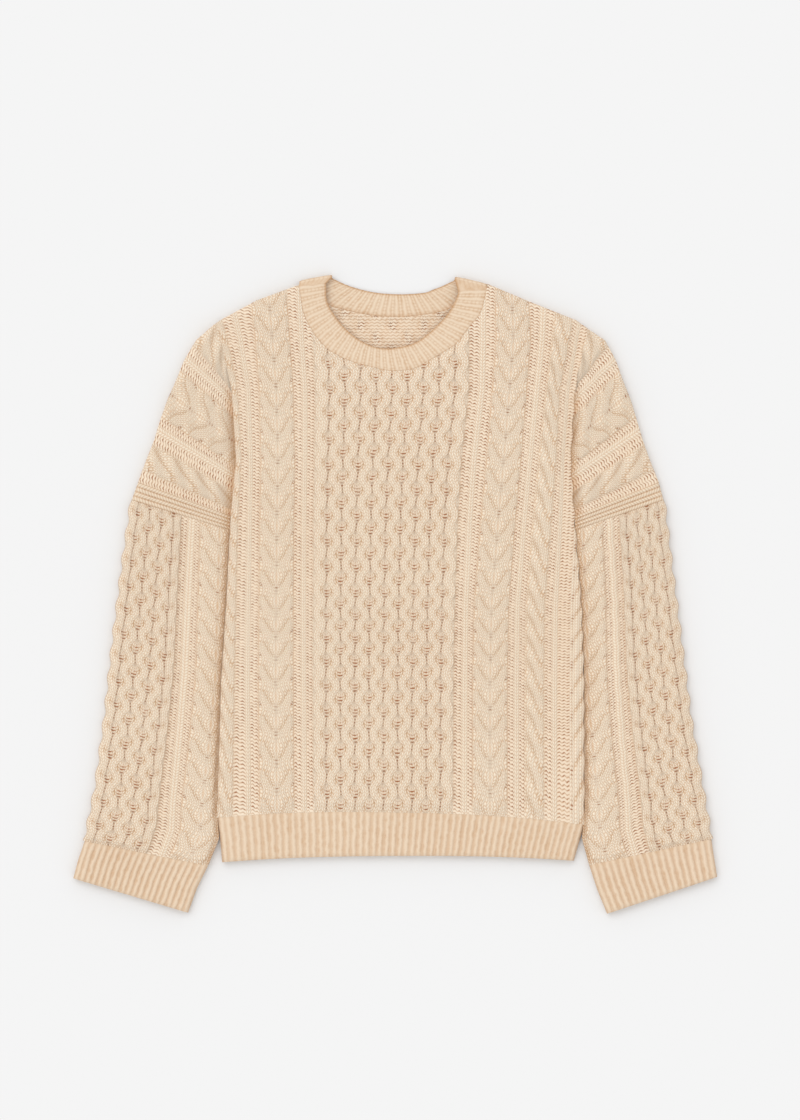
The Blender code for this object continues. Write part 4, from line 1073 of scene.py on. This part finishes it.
def side_fold(y, side):
    """The x of the body's side fold at height y, the hem rib's ends included."""
    rows = sorted((row[0], row[1 + side]) for row in SIDE_ROWS)
    rows += zip(LEVELS, FRONT_LINES[FOLDS[side]][1:])
    return np.where(y > LEVELS[0], line_x(FOLDS[side], y), read_off(rows, y))


def tube_rows(table, along):
    """Outer end, inner end, slope and middle lift of a tube's rows, at shares of its length."""
    table = np.array(table, float)
    far = along_line(0.5 * (table[:, :2] + table[:, 2:4]))
    found = np.array([np.interp(along, far / far[-1], column) for column in table.T])
    start, end = found[:2].T.copy(), found[2:4].T.copy()
    for row, other in ((0, 1), (-1, -2)):
        way = 0.5 * (start[other] + end[other] - start[row] - end[row])
        step = 0.5 * SEAM_GAP * way / np.linalg.norm(way)
        start[row] += step
        end[row] += step
    lift = found[5] if len(found) > 5 else 0.0 * along
    return start, end, found[4], lift, far[-1]


def laid_tube(name, slot, table, along, strips, side=None, bulge=None, open_end=False,
              seam_fade=0.01):
    """Makes a tube laid flat: raised top, level underside, thin hollow and two end rims.

    Each strip has its shares of the width as x. The top climbs by quarter circles from both
    edges, and beside the body it slopes down into the crease.
    """
    start, end, slope, lift, length = tube_rows(table, along)
    if side is not None:
        way = 2 * side - 1
        fold = way * side_fold(end[:, 1], side) + BODY_CLEAR
        end[:, 0] = way * np.maximum(way * end[:, 0], fold)
    width = np.linalg.norm(end - start, axis=1)[:, None]
    slope = slope[:, None]
    from_start = along[:, None] * length
    to_end = (1.0 - along[:, None]) * length
    grid, columns = side_by_side(strips)

    def plan_of(share, rows=slice(None)):
        plan = start[rows][:, None] + share[..., None] * (end - start)[rows][:, None]
        plan[..., 1] += lift[rows][:, None] * bend_of(share)
        return plan

    share = grid["x"]
    far, near = share * width, (1.0 - share) * width
    low = 0.5 * FRONT_Z
    creased = slope > EDGE_ROUND
    drop = np.where(creased, FRONT_Z - CREASE_Z, 0.0) * (1.0 - ease(near / slope))
    full = swell(far, EDGE_ROUND)
    for reach in (EDGE_TIGHT, EDGE_ROUND):
        full = full * np.where(creased, 1.0, swell(near, reach))
    if open_end:
        full = full * (MOUTH_LOW + (1.0 - MOUTH_LOW) * swell(to_end, MOUTH_ROUND))
    wave = 1.0
    if bulge is not None:
        share = share - bulge[:, None] / width * held(1.0 - far / EDGE_ROUND) ** 2
        wave = 0.8 + 0.5 * np.cos(TURN * grid["course"] / COURSES)
    plan = plan_of(share)
    height = low + (FRONT_Z - drop - low) * full
    fade = ease(from_start / seam_fade) * ease(to_end / seam_fade)
    settle = np.where(creased, ease(near / EDGE_SETTLE), 1.0)
    z = height - sag(plan[..., 0], plan[..., 1]) * full + grid["rise"] * full * fade * settle
    # Painted shade: in hollows, down the slope into the crease, and a darker band right beside
    # the body, which on sleeves swells and wanes with the repeats.
    shade = np.where(creased, 1.0 - ease(near / (0.75 * slope)), 0.0)
    edge_shade = np.where(creased, 1.0 - ease(near / EDGE_SHADE), 0.0)
    grid["warm"] += HOLLOW_SHADE * hollow_shade(z, (4, 5)) + 0.6 * shade + 0.4 * edge_shade * wave

    inset, curl_z = np.array(UNDER_CURL).T
    flat = np.array(UNDER_SHARES)
    wide = np.hstack([0.0 * width + 1.0, 1.0 - inset / width, flat + 0.0 * width,
                      inset[::-1] / width, 0.0 * width])
    under_plan = plan_of(wide)
    under_z = np.concatenate([[low], curl_z, 0.0 * flat, curl_z[::-1], [low]]) + 0.0 * wide
    under_plan[:, [0, -1]] = plan[:, [-1, 0]]
    under_z[:, [0, -1]] = z[:, [-1, 0]]
    # The underside gets an even painted shade.
    under_marks = dict(wale=wide * width / WALE_WIDE, row=grid["row"][:, :1],
                       course=grid["course"][:, :1], purl=0.0, gap=0.0, warm=UNDER_SHADE)
    marks = {mark: np.hstack([grid[mark], under_marks[mark] + 0.0 * wide]) for mark in MARKS}
    top = columns[:-1]
    columns = np.append(top, columns[-1] + np.arange(1, wide.shape[1]))
    points = np.dstack([np.hstack([plan, under_plan]), np.hstack([z, under_z])])[:, columns]
    across, down = plan[0, -1] - plan[0, 0], plan[-1, 0] - plan[0, 0]
    clockwise = bool(across[0] * down[1] < across[1] * down[0])

    kept = thinned(len(along), INSIDE_STEP)
    wall = WALL / width[kept]
    inside_share = np.clip(np.hstack([share, wide])[:, columns][kept], wall, 1.0 - wall)
    inside_z = np.full(inside_share.shape, BACK_TOP)
    inside_z[:, :len(top)] = np.maximum(height[:, top][kept] - WALL, BACK_TOP + HOLLOW_TALL)
    inside_z[:, len(top)] = BACK_TOP + HOLLOW_EDGE
    inside = np.dstack([plan_of(inside_share, kept), inside_z])
    inside_marks = {mark: part[kept] for mark, part in marks.items()}
    shells = [shell(points, marks, columns, clockwise, ring=True),
              shell(inside, inside_marks, columns, not clockwise, ring=True)]
    for row, turned in ((0, clockwise), (-1, not clockwise)):
        pair = np.array([inside[row], points[row]])
        shells.append(loop_walls(pair[:, ::-1] if turned else pair))
    flat = (2.0 * float(width.max()) * MM, length * CUT_LONG * MM)
    area = 2.0 * float(width.mean()) * length
    make_knit(name + "_knit", shells, slot, [name], area)


def sleeve_strips(along, repeat, sleeve_width):
    """The sleeve's strips from its outer fold to its inner one, rows counted from the wrist.

    Where the sleeve is too narrow for the whole staghorn, its inner part is left off.
    """
    strips = []
    for number, (kind, *_) in enumerate(SLEEVE_LINES[:-1]):
        left, right = (np.interp(along, (0.0, SLEEVE_MIDDLE, 1.0), line[1:])[:, None]
                       for line in SLEEVE_LINES[number: number + 2])
        if kind == "honeycomb":
            share, knit = honeycomb(repeat + 0.5, SLEEVE_HONEYCOMB_LINES, SLEEVE_FIRST_STRAND,
                                    SLEEVE_PITCH)
        else:
            plain = kind == "plain"
            kind = "rib" if plain else kind
            share, shown = np.linspace(0.0, 1.0, STEPS[kind] + 1)[None], 1.0
            if kind == "staghorn":
                shown = np.minimum(1.0, (right - left) * sleeve_width / SLEEVE_CABLE)
            knit = KNITS[kind](share * shown, repeat, 1.0)
            if plain:
                knit["rise"] = 0.0
        strips.append(strip_of(left + share * (right - left), 0.0, knit))
    return strips


for side, name in enumerate(SIDES):
    along = np.linspace(0.0, 1.0, int(SLEEVE_REPEATS * SLEEVE_ROWS_A_REPEAT) + 1)
    start, end = tube_rows(SLEEVE_ROWS[name], along)[:2]
    repeat = -(SLEEVE_REPEATS * along) - SLEEVE_PHASE
    strips = sleeve_strips(along, repeat[:, None], np.linalg.norm(end - start, axis=1)[:, None])
    scallops = SLEEVE_SCALLOP - SLEEVE_SCALLOP * np.cos(TURN * repeat)
    laid_tube("sleeve_" + name, "yarn", SLEEVE_ROWS[name], along, strips, side, scallops,
              seam_fade=SLEEVE_FADE)

# ---- Arm bands ----
# A short ribbed band joins each dropped shoulder to its sleeve. Its four ridges run round
# the arm.

# Each band's upper row. Its lower one is the sleeve's first.
BAND_TOPS = {
    "left": (-271.4, 120.3, -173.5, 84.3, 20.0), "right": (280.8, 120.3, 191.5, 84.3, 20.0),
}
BAND_RIDGES = 4
BAND_ROWS_A_RIDGE = 10
BAND_STEPS = 80
BAND_WIDE = 110.0
BAND_RISE = 1.0
# The rib yarn's own colour, and the colour of painted shade in it.
RIB_LIGHT = (0.815, 0.680, 0.525, 1.0)
RIB_SHADE = (0.640, 0.445, 0.288, 1.0)
RIDGE_ROW = 0.9  # rows stand still along a rib, so that its loops run on as one pale line

YARNS["rib_yarn"] = yarn_material("rib_yarn", RIB_LIGHT, RIB_SHADE)


def ridge(turns):
    """A rib's back over its valley: the square root of a raised cosine, once a turn."""
    return np.sqrt(0.5 - 0.5 * np.cos(TURN * turns))


for side, name in enumerate(SIDES):
    along = np.linspace(0.0, 1.0, BAND_ROWS_A_RIDGE * BAND_RIDGES + 1)
    share = np.linspace(0.0, 1.0, BAND_STEPS + 1)[None]
    turns = BAND_RIDGES * along[:, None]
    back_of = ridge(turns)
    # Painted shade and painted gap shade in the valleys between the ridges.
    knit = knit_of(BAND_RISE * (1.0 - 0.3 * share) * back_of, 0.5 * turns,
                   BAND_WIDE * share / COURSE_TALL, gap=0.5 * (1.0 - back_of) ** 2,
                   warm=0.2 * (1.0 - back_of) ** 2)
    laid_tube("arm_band_" + name, "rib_yarn", (BAND_TOPS[name], SLEEVE_ROWS[name][0]), along,
              [strip_of(share + 0.0 * turns, 0.0, knit)], side)

# ---- Cuffs ----
# Ribbed tubes knitted onto the sleeves. Their ribs run towards the hand and spread at the
# inner edge.

# Rows below each cuff's seam, which is the sleeve's last row.
CUFF_ROWS = {
    "left": ((-335.0, -280.4, -208.8, -310.1, 9.0), (-340.3, -300.0, -218.4, -336.5, 9.0)),
    "right": ((340.0, -280.4, 215.5, -311.8, 9.0), (342.9, -298.4, 226.0, -337.6, 9.0)),
}
CUFF_RIBS = {"left": 20, "right": 18}
RIB_STEPS = 8
RIB_RISE = 1.1
RIB_FADE = 3.0
CUFF_LONG = 47.0
CUFF_STEPS = 24


def ribbing(ribs, along, long, closer=0.0):
    """Ribs across a tube's width: each has a knit back and a purl valley about as wide.

    Their pitch narrows from the first to the last by twice the share called closer.
    """
    share = np.linspace(0.0, 1.0, RIB_STEPS * ribs + 1)[None]
    turns = ribs * share * (1.0 - closer + closer * share) + 0.0 * along[:, None]
    back_of = ridge(turns) ** 0.6
    course = -(along[:, None] * long / COURSE_TALL)
    # Painted shade, more on the ridges and less in the valleys, evens out the grain's painted
    # shade, so that the valleys stay only a little darker than the ridges.
    knit = knit_of(RIB_RISE * back_of, 0.5 * turns, course, RIDGE_ROW,
                   warm=back_of * (0.4 + 0.8 * back_of) - 0.34)
    return [strip_of(share + 0.0 * turns, 0.0, knit)]


for side, name in enumerate(SIDES):
    along = np.linspace(0.0, 1.0, CUFF_STEPS + 1)
    laid_tube("cuff_" + name, "rib_yarn", SLEEVE_ROWS[name][-1:] + CUFF_ROWS[name], along,
              ribbing(CUFF_RIBS[name], along, CUFF_LONG), side, None, True, RIB_FADE)

# ---- Hem rib ----
# One wide ribbed tube under the body, drawn in a little at both folds. It is joined to the
# front and the back all round.

# Left end x, y, right end x, y, width of the slope, rise of the middle.
HEM_ROWS = (
    (-187.6, -235.9, 201.9, -243.3, 9.0, 9.6), (-184.4, -259.7, 196.0, -262.9, 9.0, 7.5),
    (-182.3, -283.0, 190.8, -281.4, 9.0, 6.0),
)
HEM_RIBS = 55
HEM_RIBS_CLOSER = 0.083
HEM_LONG = 43.0
HEM_STEPS = 22

along = np.linspace(0.0, 1.0, HEM_STEPS + 1)
strips = ribbing(HEM_RIBS, along, HEM_LONG, HEM_RIBS_CLOSER)
laid_tube("hem", "rib_yarn", HEM_ROWS, along, strips, None, None, True, RIB_FADE)

# ---- Neckband ----
# A ribbed ring sewn to the neckline and folded over at both sides of the neck, so that its
# outside faces up in front and down behind.
NECK_EDGE = (
    (-72.1, 332.3), (-71.6, 315.4), (-68.9, 306.9), (-62.5, 296.3), (-54.1, 285.7),
    (-41.3, 274.0), (-28.6, 266.6), (-20.1, 263.4), (-7.4, 261.7), (6.4, 263.4),
    (15.9, 265.5), (23.9, 268.7), (31.8, 274.0), (43.5, 284.1), (55.1, 296.3), (61.5, 305.8),
    (67.3, 318.5), (67.8, 323.9),
)
BACK_EDGE = (
    (-65.7, 336.5), (-46.6, 328.1), (-21.2, 321.7), (6.4, 319.6), (31.8, 321.2),
    (42.4, 324.9), (50.9, 328.1), (64.5, 334.5),
)
NECK_RIBS_FRONT = 35
NECK_RIBS_BACK = 22
NECK_THICK = 2.4
NECK_RISE = 0.5
NECK_BLUNT = 4.0  # power of the section's bow
NECK_FOLD_WIDE = 3.0
NECK_TUCK = 0.8  # the band's seam edge lies this far under the panels
NECK_STEPS = 8
PROFILE_STEPS = 11
NECK_TURN_STEPS = 14  # sections and ribs over each fold
NECK_TURN_RIBS = 1.5
NECK_LONG = 24.0  # the band's depth, for its courses


def neck_ring(front_table, back_table):
    """Points along the front line, at one fold, back along the back line, at the other fold."""
    front = smooth_line(front_table, NECK_STEPS * NECK_RIBS_FRONT + 1)
    back = smooth_line(back_table, NECK_STEPS * NECK_RIBS_BACK + 1)[::-1]
    folds = [np.repeat(back[k][None], NECK_TURN_STEPS - 1, axis=0) for k in (0, -1)]
    return np.vstack([front[2:-2], folds[0], back[2:-2], folds[1]])


# Each section across the band is a flat bow with its ribs raised outside. It has its seam,
# its free edge and the way its outside faces, which turns over at each side of the neck.
seam, edge = neck_ring(NECK_SEAM, BACK_SEAM), neck_ring(NECK_EDGE, BACK_EDGE)
high, low = FRONT_Z - 0.5 * NECK_THICK, 0.5 * NECK_THICK
turn = np.radians(np.linspace(0.0, 180.0, NECK_TURN_STEPS + 1))[1:-1]
over = NECK_TURN_RIBS * np.arange(1, NECK_TURN_STEPS) / NECK_TURN_STEPS
front_turns = np.arange(2, NECK_STEPS * NECK_RIBS_FRONT - 1) / NECK_STEPS
back_turns = np.arange(2, NECK_STEPS * NECK_RIBS_BACK - 1) / NECK_STEPS
back_turns = NECK_RIBS_FRONT + 1 + back_turns
turns = np.concatenate([front_turns, front_turns[-1] + over, back_turns,
                        back_turns[-1] + over])
facing = np.concatenate([0.0 * front_turns, turn, 0.0 * back_turns + math.pi, turn[::-1]])
behind = (facing > turn[-1])[:, None]
back_of = ridge(turns) ** 2
z = 0.5 * (high + low) + 0.5 * (high - low) * np.cos(facing)
pull = edge - seam
pull = pull / np.linalg.norm(pull, axis=1)[:, None]
seam = seam - pull * NECK_TUCK
share = 0.5 - 0.5 * np.cos(np.linspace(0.0, math.pi, PROFILE_STEPS))
plain = 0.5 * NECK_THICK * arc(2.0 * share - 1.0, NECK_BLUNT)[None]
rib_fade = ease(np.minimum(share / 0.12, (1.0 - share) / 0.1))
raised = np.where(behind[:, 0], 1.0, held(np.cos(facing)))
ribbed = plain + (NECK_RISE * raised * back_of)[:, None] * rib_fade[None]
out_side, in_side = np.where(behind, plain, ribbed), np.where(behind, ribbed, plain)
across = np.concatenate([share, share[-2:0:-1]])
offset = np.hstack([out_side, -in_side[:, -2:0:-1]])
middle = seam[:, None] + across[None, :, None] * (edge - seam)[:, None]
sideways, upward = np.sin(facing)[:, None], np.cos(facing)[:, None]
points = np.dstack([
    middle[..., 0], middle[..., 1] + NECK_FOLD_WIDE * sideways + offset * sideways,
    z[:, None] + offset * upward,
])
points = np.concatenate([points, points[:1]])
turns = np.append(turns, back_turns[-1] + NECK_TURN_RIBS)
back_of = np.append(back_of, back_of[0])[:, None]
across = np.append(across, 0.0)
# Painted shade: strong along the free edge where the band turns down into the neck, a little at
# the seam, and in the valleys between ribs, set against the grain's painted shade so that narrow
# pale ridges stand between wider shaded valleys.
at_edges = 1.3 * bell(1.0 - across, 0.05) + 0.3 * bell(across, 0.05)
warm = (1.5 * np.sqrt(back_of) - 0.45 * back_of ** 2 - 0.3) + at_edges
knit = knit_of(0.0, 0.5 * turns[:, None], across * NECK_LONG / COURSE_TALL, RIDGE_ROW,
               0.5 * (1.0 - ease(back_of * 1.5)), warm=warm)
marks = strip_of(0.0 * back_of + across, 0.0, knit)
shells = [shell(points, marks, np.arange(points.shape[1]), ring=True)]
make_knit("neckband_knit", shells, "rib_yarn", ["neckband"], None)
